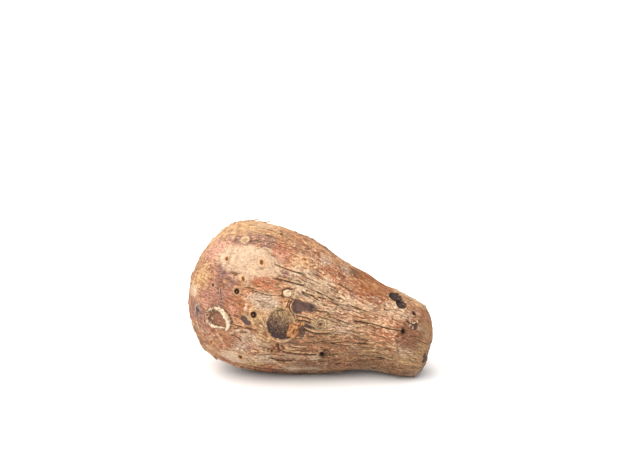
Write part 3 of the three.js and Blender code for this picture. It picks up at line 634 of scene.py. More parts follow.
def bowl_fields(skin, around):
    """Relief of the side corms' scars and buds: a floor that rises to the middle, in a low rim. Also the
    place within the nearest one in shares of its size with its darkness as a mask, and the bed."""
    radius = radius_at(skin)
    height = np.zeros(skin.shape)
    bed = np.zeros(skin.shape)
    nearest = np.full(skin.shape, 9.0)
    place = np.full(skin.shape + (3,), 9.0)
    for at, turn, half_along, half_across, depth, middle, dark, lean in BOWLS:
        across = across_mm(around, turn, radius) / half_across
        along = (skin - at) / half_along + lean * across
        turned = np.arctan2(across, along)
        waves = ((0.03, 2, 2.2), (0.03, 3, at), (0.015, 7, turn))
        uneven = sum((size * np.sin(number * turned + start) for size, number, start in waves), 1)
        across, along = across * uneven, along * uneven
        away = np.hypot(across, along)
        floor = depth - middle * smooth_step(0.9, 0.1, away)
        lip = 0.5 + 0.5 * np.sin(turned * 2 + at)
        height += 0.2 * lip * bell(away, 1.1, 0.1) - floor * smooth_step(1.06, 0.84, away)
        bed = np.maximum(bed, smooth_step(BOWL_DISC * 1.02, BOWL_DISC * 0.9, away))
        closer = away < nearest
        nearest = np.where(closer, away, nearest)
        place[closer] = np.stack([across, along, dark * smooth_step(1.6, 1.4, away)], -1)[closer]
    return height, place, bed


def route_distance(skin, around, radius, points):
    """Distance in mm over the skin from a route of straight legs: each leg's nearest point is at the share of
    it that the place projects to."""
    per_degree = radius * math.pi / 180
    nearest = np.full(skin.shape, 99.0)
    for (start, start_turn), (end, end_turn) in itertools.pairwise(points):
        along, across = skin - start, turn_between(around, start_turn) * per_degree
        leg, rise = end - start, (end_turn - start_turn) * per_degree
        share = np.clip((along * leg + across * rise) / (leg ** 2 + rise ** 2 + 0.001), 0, 1)
        nearest = np.minimum(nearest, np.hypot(along - share * leg, across - share * rise))
    return nearest


def patch_fields(skin, around):
    """How strongly each colour family holds at a place. Each patch is an oval, listed for the front or drawn
    at random for the hidden sides, whose strength falls evenly from its middle to nothing at twice its half
    sizes. The material then breaks up the edges."""
    rng = np.random.default_rng(SEEDS["patches"])
    radius = radius_at(skin)
    fields = {}
    for family, listed in PATCHES.items():
        hidden = [[rng.uniform(*ends) for ends in FAR_RANGES] for _ in range(FAR_PATCHES[family])]
        total = np.zeros(skin.shape)
        for at, turn, half_along, half_across, strength in listed + hidden:
            across = across_mm(around, turn, radius) / half_across
            away = np.hypot(across, (skin - at) / half_along)
            total = np.maximum(total, strength * np.clip(1 - away / 2, 0, 1))
        for points, half_width, strength in STREAKS.get(family, []):
            away = route_distance(skin, around, radius, points) / half_width
            total = np.maximum(total, strength * np.clip(1 - away / 2, 0, 1))
        fields[family] = total
    return fields


def surface_fields(skin, around, bedded=False):
    """Relief in mm and the masks that the bark's material reads, at any places on the corm. A bedded
    surface lies a little lower where a finer disc covers it."""
    skin, around = np.broadcast_arrays(np.asarray(skin, float), np.asarray(around, float))
    radius = radius_at(skin)
    grain = grain_point(skin, around)
    for scale, amount in GRAIN_WANDER:
        wander = [amount * layered_noise(grain * scale, seed, 3) for seed in NOISE_SEEDS["wander"]]
        grain = grain + np.stack([*wander, 0 * wander[0]], -1)
    patches = {**patch_fields(skin, around), "skin": skin}
    ends = smooth_step(4, 26, skin) * smooth_step(SKIN_LENGTH - 3, SKIN_LENGTH - 22, skin)
    cycle = 2 * math.pi * axis_at(skin)
    height = sum(size * np.sin(waves * np.radians(around) + start) * np.sin(cycle / length + start)
                 for size, waves, length, start in LUMPS) * ends
    neck = smooth_step(34, 60, skin)
    for on_bulb, on_neck, scale, scale_along, seed, layers in BARK_LAYERS:
        noise = layered_noise(grain * (scale, scale, scale_along), seed, layers)
        height = height + (on_bulb + on_neck * neck) * noise
    layer = layered_noise(grain * (0.2, 0.2, 0.075), NOISE_SEEDS["layer"], 5)
    height = height + 0.16 * smooth_step(-0.03, 0.03, layer) * (0.3 + 0.7 * neck)

    # Wrinkles: sharp valleys where a stretched noise crosses zero, rounded ridges between them.
    wrinkles = np.zeros(skin.shape)
    amount = np.clip(0.25 * neck + patches["wrinkle"], 0, 1.1)
    for scale, seed, depth in WRINKLES:
        noise = np.abs(layered_noise(grain * (scale, scale, scale * 0.13), seed, 3))
        valley = smooth_step(0.13, 0.0, noise) * amount
        height = height - depth * valley + 0.2 * amount * np.minimum(noise, 0.4)
        wrinkles = np.maximum(wrinkles, valley * (0.6 + depth))

    cracks = np.zeros(skin.shape)
    lips = np.zeros(skin.shape)
    label = label_of(around, skin)
    fade = smooth_step(FISSURES_START - 10, FISSURES_START + 14, skin)
    fade = fade * smooth_step(FISSURES_END, FISSURES_END - 20, skin)
    fade = fade * (1 - 0.7 * np.clip(patches["smooth"], 0, 1))
    for index, (knots, depths, half_width, lip_above, lip_below) in enumerate(FISSURE_LINES):
        across = across_mm(label, fissure_label(index, skin), radius)
        opening = np.interp(skin, knots, depths) * fade
        width = half_width * (0.6 + 0.5 * opening)
        crack = opening * bell(across, 0, width)
        above = opening * bell(across, 2.0 * width, 1.3 * width)
        below = opening * bell(across, -2.0 * width, 1.3 * width)
        height = height - 0.85 * crack + lip_above * above + lip_below * below
        cracks = np.maximum(cracks, crack)
        lips = np.maximum(lips, np.maximum(above * lip_above, below * lip_below) * 2)
    # Drawn dark lines, some of them painted shadow lines, sink the bark a little.
    ink = np.clip(patches["ink"], 0, 1)
    height = height - 0.3 * ink
    uneven = layered_noise(grain * (0.15, 0.15, 0.02), NOISE_SEEDS["rings"], 3)
    ring, ring_shade, cap_lip = ring_height(skin, around, uneven)
    scar, scar_place, scar_sizes, scar_bed = scar_fields(skin, around)
    bowl, bowl_place, bowl_bed = bowl_fields(skin, around)
    collar_away = np.hypot(across_mm(around, COLLAR["around"], radius) / COLLAR["across"],
                           (skin - COLLAR["skin"]) / COLLAR["along"])
    calm = np.maximum(smooth_step(1.25, 1.0, np.hypot(bowl_place[..., 0], bowl_place[..., 1])),
                      np.clip(patches["violet"], 0, 1))
    height = height * (1 - 0.8 * calm) + ring + scar + bowl - 0.8 * smooth_step(1.0, 0.75, collar_away)
    from_end = SKIN_LENGTH - skin
    rim = NECK_FACE["radius"]
    height = height - NECK_FACE["depth"] * smooth_step(rim + 0.5, rim - 0.8, from_end)
    height = height + TIP_BUD["height"] * smooth_step(TIP_BUD["radius"], TIP_BUD["radius"] * 0.3, skin)
    if bedded:
        height = height - SCAR_BED * scar_bed - BOWL_BED * bowl_bed
    return {
        "height": height, "grain": grain, "scar": scar_place, "scar_sizes": scar_sizes, "bowl": bowl_place,
        "lines": np.stack([np.maximum(cracks * (1 - calm), ink), np.maximum(lips * (1 - calm), 0.5 * cap_lip),
                           ring_shade], -1),
        "relief": np.stack([wrinkles * (1 - calm), layer, smooth_step(1.0, 0.8, collar_away)], -1),
        **{key: np.stack([patches[name] for name in names], -1) for key, names in TONES.items()},
    }


def mask_of(fields, name):
    """One of the masks among the fields, as a view that can be changed."""
    key = next(key for key, names in MASKS.items() if name in names)
    return fields[key][..., MASKS[key].index(name)]


def grid_faces(rows, columns):
    """Corner numbers of the four-sided faces of a grid, row by row, whose last column joins its first."""
    start, column = np.meshgrid(np.arange(rows - 1) * columns, np.arange(columns), indexing="ij")
    beside = (column + 1) % columns
    corners = [start + column, start + columns + column, start + columns + beside, start + beside]
    return np.stack(corners, -1).reshape(-1, 4)


def add_piece(name, points, faces, material, fields=None, uv=None):
    """A smooth mesh object from an array of points and a list of arrays of faces, carried by the corm."""
    mesh = bpy.data.meshes.new(name)
    points = np.asarray(points, np.float32).reshape(-1, 3)
    corners = np.concatenate([group.reshape(-1) for group in faces]).astype(np.int32)
    sizes = np.concatenate([np.full(len(group), group.shape[1]) for group in faces]).astype(np.int32)
    mesh.vertices.add(len(points))
    mesh.vertices.foreach_set("co", points.reshape(-1))
    mesh.loops.add(len(corners))
    mesh.loops.foreach_set("vertex_index", corners)
    mesh.polygons.add(len(sizes))
    mesh.polygons.foreach_set("loop_start", np.concatenate([[0], np.cumsum(sizes)[:-1]]).astype(np.int32))
    mesh.polygons.foreach_set("use_smooth", np.ones(len(sizes), bool))
    for key, values in (fields or {}).items():
        vector = values.ndim > 1 and values.shape[-1] == 3
        attribute = mesh.attributes.new(key, "FLOAT_VECTOR" if vector else "FLOAT", "POINT")
        attribute.data.foreach_set("vector" if vector else "value", values.astype(np.float32).reshape(-1))
    if uv is not None:
        mesh.uv_layers.new(name="OFBake").data.foreach_set("uv", uv.astype(np.float32).reshape(-1))
    mesh.update(calc_edges=True)
    if mesh.validate():
        raise RuntimeError(name + " has faces that are not valid")
    mesh.materials.append(material)
    piece = bpy.data.objects.new(name, mesh)
    bpy.context.scene.collection.objects.link(piece)
    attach(piece, "root")
    return piece


def add_bark_piece(name, skin, around, rise, faces, material, changes=None, bedded=False, uv=None):
    """A piece whose points lie rise mm above the bark's relief, and which carries the bark's masks."""
    fields = surface_fields(skin, around, bedded)
    point, normal = skin_frame(skin, around)
    points = laid_down(point + normal * (fields.pop("height") + rise)[..., None])
    if changes:
        changes(fields)
    flat = {key: values.reshape(-1, 3) for key, values in fields.items()}
    return add_piece(name, points, faces, material, fields=flat, uv=uv)


def add_fibre_piece(name, skin, around, rise, faces, tint, material):
    """A piece whose points lie rise mm above the bark's relief, and which carries its tint."""
    point, normal = skin_frame(skin, around)
    height = surface_fields(skin, around)["height"]
    points = laid_down(point + normal * (height + rise)[..., None])
    tints = np.broadcast_to(tint, skin.shape).reshape(-1)
    add_piece(name, points, faces, material, fields={"tint": tints})


def sweep(skin, around, half_width, high, section, side=1):
    """Carries closed sections along paths on the bark. A path is a row of places; a section's points are
    across (-1 to 1, times the half width) and up (times the height). Returns each point's place and rise,
    and the faces: a closed grid for each path with a flat cap at both ends."""
    paths, stations = skin.shape
    radius = radius_at(skin)
    per_degree = radius * math.pi / 180
    along = np.gradient(skin, axis=1)
    across = np.gradient(around, axis=1) * per_degree
    length = np.hypot(along, across)
    section = np.asarray(section, float)
    reach = half_width[..., None] * section[:, 0] * np.asarray(side, float).reshape(-1, 1, 1)
    place = skin[..., None] - across[..., None] / length[..., None] * reach
    turn = around[..., None] + along[..., None] / (length * per_degree)[..., None] * reach
    rise = high[..., None] * section[:, 1]
    size = section.shape[0]
    one = grid_faces(stations, size)
    ends = np.stack([np.arange(size), (stations - 1) * size + np.arange(size)[::-1]])
    start = (np.arange(paths) * stations * size)[:, None, None]
    mirrored = np.broadcast_to(np.asarray(side).reshape(-1, 1, 1) < 0, start.shape)
    faces = [np.where(mirrored, part[:, ::-1], part) + start for part in (one, ends)]
    return place, turn, rise, [faces[0].reshape(-1, 4), faces[1].reshape(-1, size)]


def discs(places, rings, sectors, reach):
    """Round patches: for each (skin, around, half along, half across), a centre, rings out to the reach, and
    a point below. Returns each point's place, its share of the reach or -1 for the point below, and the
    faces."""
    places = np.asarray(places, float)
    steps = (np.arange(rings) + 1) / rings
    angle = np.arange(sectors) * 2 * math.pi / sectors
    out = steps[:, None] * reach
    along = np.concatenate([[0], (out * np.cos(angle)).reshape(-1), [0]])
    across = np.concatenate([[0], (out * np.sin(angle)).reshape(-1), [0]])
    skin = places[:, :1] + along * places[:, 2:3]
    radius = radius_at(skin)
    around = places[:, 1:2] + degrees_of(across * places[:, 3:4], radius)
    shares = np.concatenate([[0], np.repeat(steps, sectors), [-1]])
    count = rings * sectors + 2
    sector = np.arange(sectors)
    beside = (sector + 1) % sectors
    last = 1 + (rings - 1) * sectors
    fan = np.stack([np.zeros(sectors, int), 1 + sector, 1 + beside], -1)
    under = np.stack([np.full(sectors, count - 1), last + beside, last + sector], -1)
    start = (np.arange(len(places)) * count)[:, None, None]
    faces = [(1 + grid_faces(rings, sectors) + start).reshape(-1, 4), (fan + start).reshape(-1, 3),
             (under + start).reshape(-1, 3)]
    return skin, around, np.broadcast_to(shares, skin.shape), faces


def set_stops(ramp, stops):
    """Gives a colour ramp its stops: position, hex colour and, where it matters, alpha."""
    while len(ramp.elements) < len(stops):
        ramp.elements.new(0.5)
    for element, (position, colour, *alpha) in zip(ramp.elements, stops):
        element.position = position
        element.color = (*srgb(colour)[:3], alpha[0] if alpha else 1.0)


def node(tree, kind, *values, out=None, named=None, stops=None, **settings):
    """Adds one node, sets its properties, gives values or links to its inputs in their order or by name, and
    returns the named output or the first one in use."""
    made = tree.nodes.new("ShaderNode" + kind)
    for key, value in settings.items():
        setattr(made, key, value)
    if stops:
        set_stops(made.color_ramp, stops)
    in_use = [socket for socket in made.inputs if socket.enabled]
    for socket, value in [*zip(in_use, values), *((made.inputs[key], named[key]) for key in named or {})]:
        if isinstance(value, bpy.types.NodeSocket):
            tree.links.new(value, socket)
        else:
            socket.default_value = srgb(value) if isinstance(value, str) else value
    results = [socket for socket in made.outputs if socket.enabled]
    return made.outputs[out] if out else (results or [made])[0]


def start_material(name):
    material = bpy.data.materials.new(name)
    material.use_nodes = True
    material.node_tree.nodes.clear()
    return material, functools.partial(node, material.node_tree)


def taro_bark(base_hex):
    """Dry corm bark: thin corky skin that split lengthwise as the corm swelled and dried. Matt, streaky tan
    with darker fibres, cream where the outer layer came off, and rust, plum and grey stains."""
    material, add = start_material("taro_bark")
    grain = add("Attribute", out="Vector", attribute_name="grain")
    # Each noise: how it is stretched over the grain, its scale per mm, its layers and roughness.
    looks = {
        "streak": ((1, 1, 0.23), 0.95, 5, 0.6), "fibre": ((1, 1, 0.17), 2.7, 3, 0.6),
        "blotch": ((1, 1, 0.5), 0.17, 6, 0.65), "ragged": ((1, 1, 0.42), 0.9, 6, 0.7),
        "strip": ((1, 1, 0.3), 1.3, 4, 0.6), "speck": ((1, 1, 0.8), 1.6, 3, 0.65),
        "fleck": ((1, 1, 0.5), 1.3, 3, 0.55), "hairline": ((1, 1, 0.17), 0.55, 4, 0.5),
        "check": ((1, 1, 0.26), 0.95, 3, 0.5), "opening": ((1, 1, 0.4), 0.4, 2, 0.5),
        "arc": ((0.09, 0.09, 1), 0.95, 3, 0.55),
    }
    noise = {}
    for number, (key, (stretch, scale, layers, rough)) in enumerate(looks.items()):
        moved = add("Mapping", grain, (7.1 * number, 3.3 * number, 0), (0, 0, 0), stretch)
        noise[key] = add("TexNoise", moved, scale, layers, rough)
    # The ones that break edges and draw lines, about zero.
    swing = {key: add("Math", noise[key], 0.5, operation="SUBTRACT")
             for key in ("streak", "blotch", "ragged", "speck", "hairline", "check", "arc")}
    tone = {}
    for attribute, names in MASKS.items():
        vector = add("Attribute", out="Vector", attribute_name=attribute)
        tone.update(zip(names, add("SeparateXYZ", vector).node.outputs))

    def broken_mask(name, amount, start, end, cover, broken_by="ragged", blend="SMOOTHSTEP"):
        """How far a carried mask covers, its edge broken by a noise."""
        mask = add("Math", swing[broken_by], amount, tone[name], operation="MULTIPLY_ADD")
        return add("MapRange", mask, start, end, 0.0, cover, interpolation_type=blend)

    # Coats of colour from the lowest up: how far each covers what is under it, and its colour.
    coats = []
    # Plain bark: dark and light fibres side by side, with straw and red strips where it isn't smooth.
    weighted = -0.1
    for shade, amount in (
            (noise["streak"], 0.55), (noise["fibre"], 0.3), (noise["blotch"], 0.35), (tone["fleck"], 0.05)):
        weighted = add("Math", shade, amount, weighted, operation="MULTIPLY_ADD")
    colour = add("ValToRGB", weighted, stops=[
        (0.36, "#583825"), (0.45, "#7f553a"), (0.52, base_hex), (0.6, "#b48966"), (0.7, "#caa883")])
    coarse = add("MapRange", tone["smooth"], 0.0, 1.0, 1.0, 0.0)
    strip = add("MapRange", noise["strip"], 0.53, 0.64, 0.0, 0.55, interpolation_type="SMOOTHSTEP")
    straw = add("ValToRGB", noise["fibre"], stops=[(0.36, "#a88059"), (0.62, "#d1b289")])
    coats.append((add("Math", strip, coarse, operation="MULTIPLY"), straw))
    red = add("MapRange", noise["ragged"], 0.43, 0.36, 0.0, 0.4, interpolation_type="SMOOTHSTEP")
    coats.append((add("Math", red, coarse, operation="MULTIPLY"), "#7f4831"))

    # Each stain: the noises that break its edge and shade it, how far, its edge's width, dark, light, cover.
    stains = [
        ("straw", "ragged", "fibre", 2.2, 0.5, "#8e6f48", "#c1a57c", 0.75),
        ("rose", "blotch", "fibre", 1.3, 0.5, "#744a3e", "#99695b", 0.8),
        ("rust", "ragged", "fibre", 2.4, 0.3, "#783b25", "#a46343", 0.8),
        ("orange", "streak", "fibre", 1.6, 0.4, "#6b3a1e", "#935628", 0.88),
        ("blush", "ragged", "speck", 2.0, 0.6, "#ab7a66", "#d2a48c", 0.65),
        ("plum", "ragged", "fibre", 1.8, 0.3, "#5f423e", "#86645c", 0.8),
        # The gold coat paints golden tan, and a painted highlight along the top edge.
        ("gold", "ragged", "streak", 2.2, 0.5, "#a37b50", "#cba87b", 0.75),
        ("grey", "speck", "speck", 2.0, 0.4, "#8b7b6d", "#baa999", 0.6),
        ("cream", "ragged", "blotch", 1.5, 0.5, "#b09378", "#c3ab91", 0.9),
        # The umber coat paints dark brown stains, and painted shade where the broad low patches lie.
        ("umber", "streak", "fibre", 1.8, 0.4, "#492d1d", "#694530", 0.75),
    ]
    for name, broken_by, shaded_by, amount, soft, dark, light, cover in stains:
        mask = broken_mask(name, amount, 0.5 - soft / 2, 0.5 + soft / 2, cover, broken_by)
        coats.append((mask, add("ValToRGB", noise[shaded_by], stops=[(0.36, dark), (0.62, light)])))

    # Flecks of torn cork, a mm or two long, pale and red.
    chance = add("Math", tone["fleck"], 0.12, -0.06, operation="MULTIPLY_ADD")
    fewer = add("MapRange", coarse, 0.0, 1.0, 0.25, 1.0)
    for sign, start, end, most, hue in (
            ("ADD", 0.565, 0.63, 0.75, "#e0bf9a"), ("SUBTRACT", 0.44, 0.38, 0.65, "#8a4b31")):
        torn = add("Math", noise["fleck"], chance, operation=sign)
        torn = add("MapRange", torn, start, end, 0.0, most, interpolation_type="SMOOTHSTEP")
        coats.append((add("Math", torn, fewer, operation="MULTIPLY"), hue))
    violet = broken_mask("violet", 1.2, 0.35, 0.7, 0.92)
    coats.append((violet, add("ValToRGB", noise["blotch"], stops=[(0.4, "#2b1f22"), (0.62, "#4b3734")])))

    # Hairline cracks: where a noise crosses its middle, opening and closing, with a pale edge beside them
    # painted as a highlight.
    creases = 0.0
    neck = add("MapRange", tone["skin"], 34.0, 60.0, 0.15)
    for key, width, dark, edge in (("hairline", 0.04, 0.45, 0.45), ("check", 0.028, 0.32, 0.32)):
        opening = add("MapRange", noise["opening"], 0.44, 0.6, 0.08)
        local = add("Math", tone["wrinkle"], 0.7, 0.3, operation="MULTIPLY_ADD")
        for share in (local, coarse, neck, width):
            opening = add("Math", opening, share, operation="MULTIPLY")
        opening = add("Math", opening, 0.0006, operation="MAXIMUM")
        beside = add("Math", swing[key], opening, operation="DIVIDE")
        line = add("MapRange", add("Math", beside, operation="ABSOLUTE"), 1.0, 0.3)
        near, far = add("MapRange", beside, 0.9, 1.5), add("MapRange", beside, 3.6, 2.2, 0.0, edge)
        # The pale band beside each line is a painted highlight.
        coats.append((add("Math", near, far, operation="MULTIPLY"), "#dcba8f"))
        coats.append((add("Math", line, dark, operation="MULTIPLY"), "#50321c"))
        creases = add("Math", line, creases, operation="MAXIMUM")
    coats.append((broken_mask("valley", 1.2, 0.45, 0.85, 0.7, blend="LINEAR"), "#4d301e"))

    # Rings round the bulb.
    arc = add("MapRange", add("Math", swing["arc"], operation="ABSOLUTE"), 0.02, 0.005)
    arc = add("Math", arc, add("MapRange", tone["skin"], 52.0, 30.0, 0.0, 0.4), operation="MULTIPLY")
    ringed = add("Math", tone["rings"], 0.45, operation="MULTIPLY")
    coats.append((add("Math", arc, ringed, operation="MAXIMUM"), "#543527"))

    # Fissures: pale torn lips, and a floor that darkens to near black. This dark coat also paints the shadow
    # lines and the torn edges' dark feet, so it is partly painted shade.
    lips = broken_mask("lips", 1.5, 0.3, 1.0, 0.72, blend="LINEAR")
    coats.append((lips, add("ValToRGB", noise["streak"], stops=[(0.4, "#ac8159"), (0.62, "#d2b088")])))
    cracks = broken_mask("cracks", 0.9, 0.25, 0.75, 0.88, blend="LINEAR")
    fainter = add("MapRange", coarse, 0.0, 1.0, 0.75, 1.0)
    coats.append((add("Math", cracks, fainter, operation="MULTIPLY"), "#382211"))

    # Root scars: a dark hole, partly painted shade in the pit, brown wall, cork ring or orange stain; the
    # cork ones have a pale middle, the root's stub, partly a painted highlight. The ramps run 0 to 0.5 over
    # the hole, and 0.5 to 1 from its wall to past the rim.
    place = add("CombineXYZ", tone["scar across"], tone["scar along"])
    away = add("VectorMath", place, operation="LENGTH")
    away = add("Math", swing["ragged"], 0.6, away, operation="MULTIPLY_ADD")
    aside = add("VectorMath", place, (0.14, 0.1, 0.0), operation="ADD")
    aside = add("VectorMath", aside, operation="LENGTH")
    aside = add("Math", swing["ragged"], 0.8, aside, operation="MULTIPLY_ADD")
    aside = add("MapRange", add("Math", away, tone["hole"], operation="SUBTRACT"), -0.25, 0.0, aside, away)
    inner = add("MapRange", aside, 0.0, tone["hole"], 0.0, 0.5)
    outer = add("MapRange", away, tone["hole"], 1.3, 0.0, 0.5)
    ring = add("Math", inner, outer, operation="ADD")
    scar_stops = {
        "plain": [(0, "#180e08", 1), (0.36, "#25160c", 1), (0.5, "#442b1d", 1), (0.6, "#5f3f2a", 0.9),
                  (0.76, "#65442e", 0.45), (0.95, "#65442e", 0)],
        "cork": [(0, "#b98d66", 1), (0.12, "#8a5f41", 1), (0.22, "#2c1b12", 1), (0.4, "#24160e", 1),
                 (0.5, "#6a4530", 1), (0.56, "#a07a5a", 0.7), (0.64, "#bd9875", 0.4), (0.8, "#bd9875", 0.12),
                 (0.95, "#bd9875", 0)],
        "disc": [(0, "#3a2617", 1), (0.36, "#3a2617", 1), (0.5, "#755437", 1), (0.56, "#a78765", 0.9),
                 (0.7, "#ab8c6a", 0.7), (0.76, "#cdb48e", 0.6), (0.85, "#cdb48e", 0.5), (0.9, "#93725a", 0.4),
                 (0.97, "#93725a", 0)],
        "stained": [(0, "#8d5c30", 1), (0.22, "#6b4323", 1), (0.42, "#74492a", 1), (0.54, "#9a6a3f", 0.9),
                    (0.66, "#b98651", 0.5), (0.8, "#c1925f", 0.2), (0.93, "#c1925f", 0)],
    }
    ramps = {name: add("ValToRGB", ring, stops=stops) for name, stops in scar_stops.items()}
    cork, cover = ramps["plain"], ramps["plain"].node.outputs["Alpha"]
    paleness = add("Math", tone["paleness"], 1.0, operation="MINIMUM")
    flatness = add("MapRange", tone["paleness"], 1.0, 1.2)
    for share, name in ((paleness, "cork"), (flatness, "disc"), (tone["stain"], "stained")):
        cork = add("Mix", share, cork, ramps[name], data_type="RGBA")
        cover = add("Mix", share, cover, ramps[name].node.outputs["Alpha"])
    cover = add("Math", cover, tone["scar near"], operation="MULTIPLY")
    coats.append((cover, cork))
    # The fine rings round the pale ringed scars.
    turns = add("Math", away, 19.0, operation="MULTIPLY")
    turns = add("Math", swing["ragged"], 3.0, turns, operation="MULTIPLY_ADD")
    turns = add("MapRange", add("Math", turns, operation="SINE"), -0.1, -0.7)
    ringed_scar = add("MapRange", tone["paleness"], 1.2, 2.0)
    for share in (ringed_scar, add("MapRange", away, 1.25, 1.0), tone["scar near"]):
        turns = add("Math", turns, share, operation="MULTIPLY")
    coats.append((add("Math", turns, 0.6, operation="MULTIPLY"), "#6f4e35"))

    # Scars of side corms: a grainy floor from grey-brown above to near black below, partly painted shade, in
    # a thin pale rim.
    inside = add("CombineXYZ", tone["bowl across"], tone["bowl along"])
    inside = add("VectorMath", inside, operation="LENGTH")
    broken = add("MapRange", tone["bowl dark"], 1.0, 1.4, 0.25, 0.9)
    inside = add("Math", swing["ragged"], broken, inside, operation="MULTIPLY_ADD")
    there = add("MapRange", tone["bowl dark"], 0.3, 0.6)
    crumb = add("TexNoise", grain, 1.6, 3.0, 0.6, named={"Distortion": 1.2})
    grit = add("TexNoise", grain, 3.0, 2.0, 0.6, named={"Distortion": 0.8})
    # The floor lighter above and darker below is painted light and shade; the darkest bud scars have little
    # of it.
    slope = add("MapRange", tone["bowl dark"], 1.0, 1.4, 0.34, 0.05)
    shade = add("Math", tone["bowl across"], slope, 0.48, operation="MULTIPLY_ADD")
    shade = add("Math", tone["bowl along"], 0.1, shade, operation="MULTIPLY_ADD")
    for spread, amount in ((crumb, 1.1), (grit, 1.6)):
        spread = add("Math", spread, 0.5, operation="SUBTRACT")
        shade = add("Math", spread, amount, shade, operation="MULTIPLY_ADD")
    dark = add("Math", tone["bowl dark"], 1.0, operation="SUBTRACT")
    shade = add("Math", dark, -0.75, shade, operation="MULTIPLY_ADD")
    strands = add("Math", dark, 5.0, operation="MULTIPLY")
    shade = add("Math", swing["ragged"], strands, shade, operation="MULTIPLY_ADD")
    floor = add("ValToRGB", shade, stops=[
        (0.02, "#1c1311"), (0.28, "#38292a"), (0.46, "#5b4438"), (0.62, "#7c5f44"), (0.85, "#a48862")])
    covered = add("Math", add("MapRange", inside, 1.0, 0.92), there, operation="MULTIPLY")
    coats.append((covered, floor))
    rim = add("Math", add("MapRange", inside, 0.97, 1.03), there, operation="MULTIPLY")
    rim = add("Math", rim, add("MapRange", inside, 1.15, 1.06, 0.0, 0.45), operation="MULTIPLY")
    coats.append((rim, "#b3936b"))
    coats.append((add("Math", tone["collar"], 0.55, operation="MULTIPLY"), "#6b4535"))

    # The tip's bud and the neck's dried end: a crust on which no grain runs.
    crust = add("TexNoise", add("TexCoord", out="Object"), 520.0, 5.0, 0.68)
    at_tip = add("MapRange", tone["skin"], 4.4, 2.2)
    at_end = add("MapRange", tone["skin"], SKIN_LENGTH - 7.2, SKIN_LENGTH - 5.2)
    bare = add("Math", at_tip, at_end, operation="MAXIMUM")
    bare = add("Math", add("Math", crust, 0.5, operation="SUBTRACT"), 2.6, bare, operation="MULTIPLY_ADD")
    bare = add("MapRange", bare, 0.35, 0.65, 0.0, 0.92)
    coats.append((bare, add("ValToRGB", crust, stops=[
        (0.34, "#36241a"), (0.46, "#634835"), (0.6, "#8d6d52"), (0.7, "#a98a6b")])))
    for cover_here, above in coats:
        colour = add("Mix", cover_here, colour, above, data_type="RGBA")

    # Fine fibre and mottling over everything, which keeps any stain from looking flat.
    fine = add("MapRange", noise["fibre"], 0.3, 0.7, 0.72, 1.25)
    mottle = add("MapRange", noise["speck"], 0.3, 0.7, -0.28, 0.28)
    fine = add("Math", fine, mottle, operation="ADD")
    colour = add("VectorMath", colour, fine, operation="SCALE")

    relief = 0.0
    for height, amount in (
            (noise["fibre"], 0.16), (noise["streak"], 0.3), (noise["ragged"], 0.22), (noise["speck"], 0.1),
            (noise["fleck"], 0.3), (creases, -0.25), (arc, -0.15), (turns, -0.15),
            (add("Math", covered, crumb, operation="MULTIPLY"), 0.5),
            (add("Math", bare, crust, operation="MULTIPLY"), 0.9)):
        relief = add("Math", height, amount, relief, operation="MULTIPLY_ADD")
    bump = add("Bump", named={"Height": relief, "Strength": 1.0, "Distance": 0.001})
    rough = add("MapRange", noise["streak"], 0.3, 0.7, 0.88, 0.62)
    shader = add("BsdfPrincipled", named={
        "Base Color": colour, "Roughness": rough, "Normal": bump, "IOR": 1.45, "Specular IOR Level": 0.35})
    add("OutputMaterial", shader)
    return material


def dry_fibre(name, dark, light):
    """Dry fibre or cork, torn or withered: matt, between two colours by the tint it carries and by noise."""
    material, add = start_material(name)
    place = add("TexCoord", out="Object")
    shade = add("Attribute", out="Fac", attribute_name="tint")
    shade = add("Math", shade, 1.0, operation="SUBTRACT")
    for scale, layers, amount in ((700.0, 4.0, 1.2), (160.0, 2.0, 0.8)):
        noise = add("TexNoise", place, scale, layers, 0.6)
        shade = add("Math", noise, amount, shade, operation="MULTIPLY_ADD")
    shade = add("Math", shade, 0.4, operation="ADD")
    colour = add("ValToRGB", shade, stops=[(0.3, dark), (1.0, light)])
    bump = add("Bump", named={"Height": shade, "Strength": 0.5, "Distance": 0.0003})
    shader = add("BsdfPrincipled", named={
        "Base Color": colour, "Roughness": 0.8, "Normal": bump, "IOR": 1.45, "Specular IOR Level": 0.3})
    add("OutputMaterial", shader)
    return material


class TARO_PG_skin(bpy.types.PropertyGroup):
    """Grid and base colour of the corm's bark."""
    columns: bpy.props.IntProperty(
        name="Columns per fissure", description="Grid columns from one fissure to the next",
        default=10, min=8, max=20)
    rows: bpy.props.IntProperty(
        name="Rows", description="Grid rows from the tip to the neck's end", default=213, min=60)
    base_hex: bpy.props.StringProperty(
        name="Bark colour", description="sRGB hex colour of plain bark", default="#a07252")


class TARO_PG_relief(bpy.types.PropertyGroup):
    """The finer pieces that lie on the bark."""
    scar_rings: bpy.props.IntProperty(
        name="Scar rings", description="Rings of faces in each root scar's disc", default=14, min=4)
    torn_edges: bpy.props.IntProperty(
        name="Torn edges", description="Number of torn edges besides those seen from the front", default=150,
        min=0)
    strips: bpy.props.IntProperty(
        name="Strips", description="Number of loose strips of bark", default=130, min=0)


class TARO_PG_hairs(bpy.types.PropertyGroup):
    """Withered root hairs."""
    count: bpy.props.IntProperty(name="Count", description="Number of root hairs", default=170, min=1)
    radius: bpy.props.FloatProperty(
        name="Radius", description="Radius of a hair in mm where it leaves the bark", default=0.09, min=0.02)


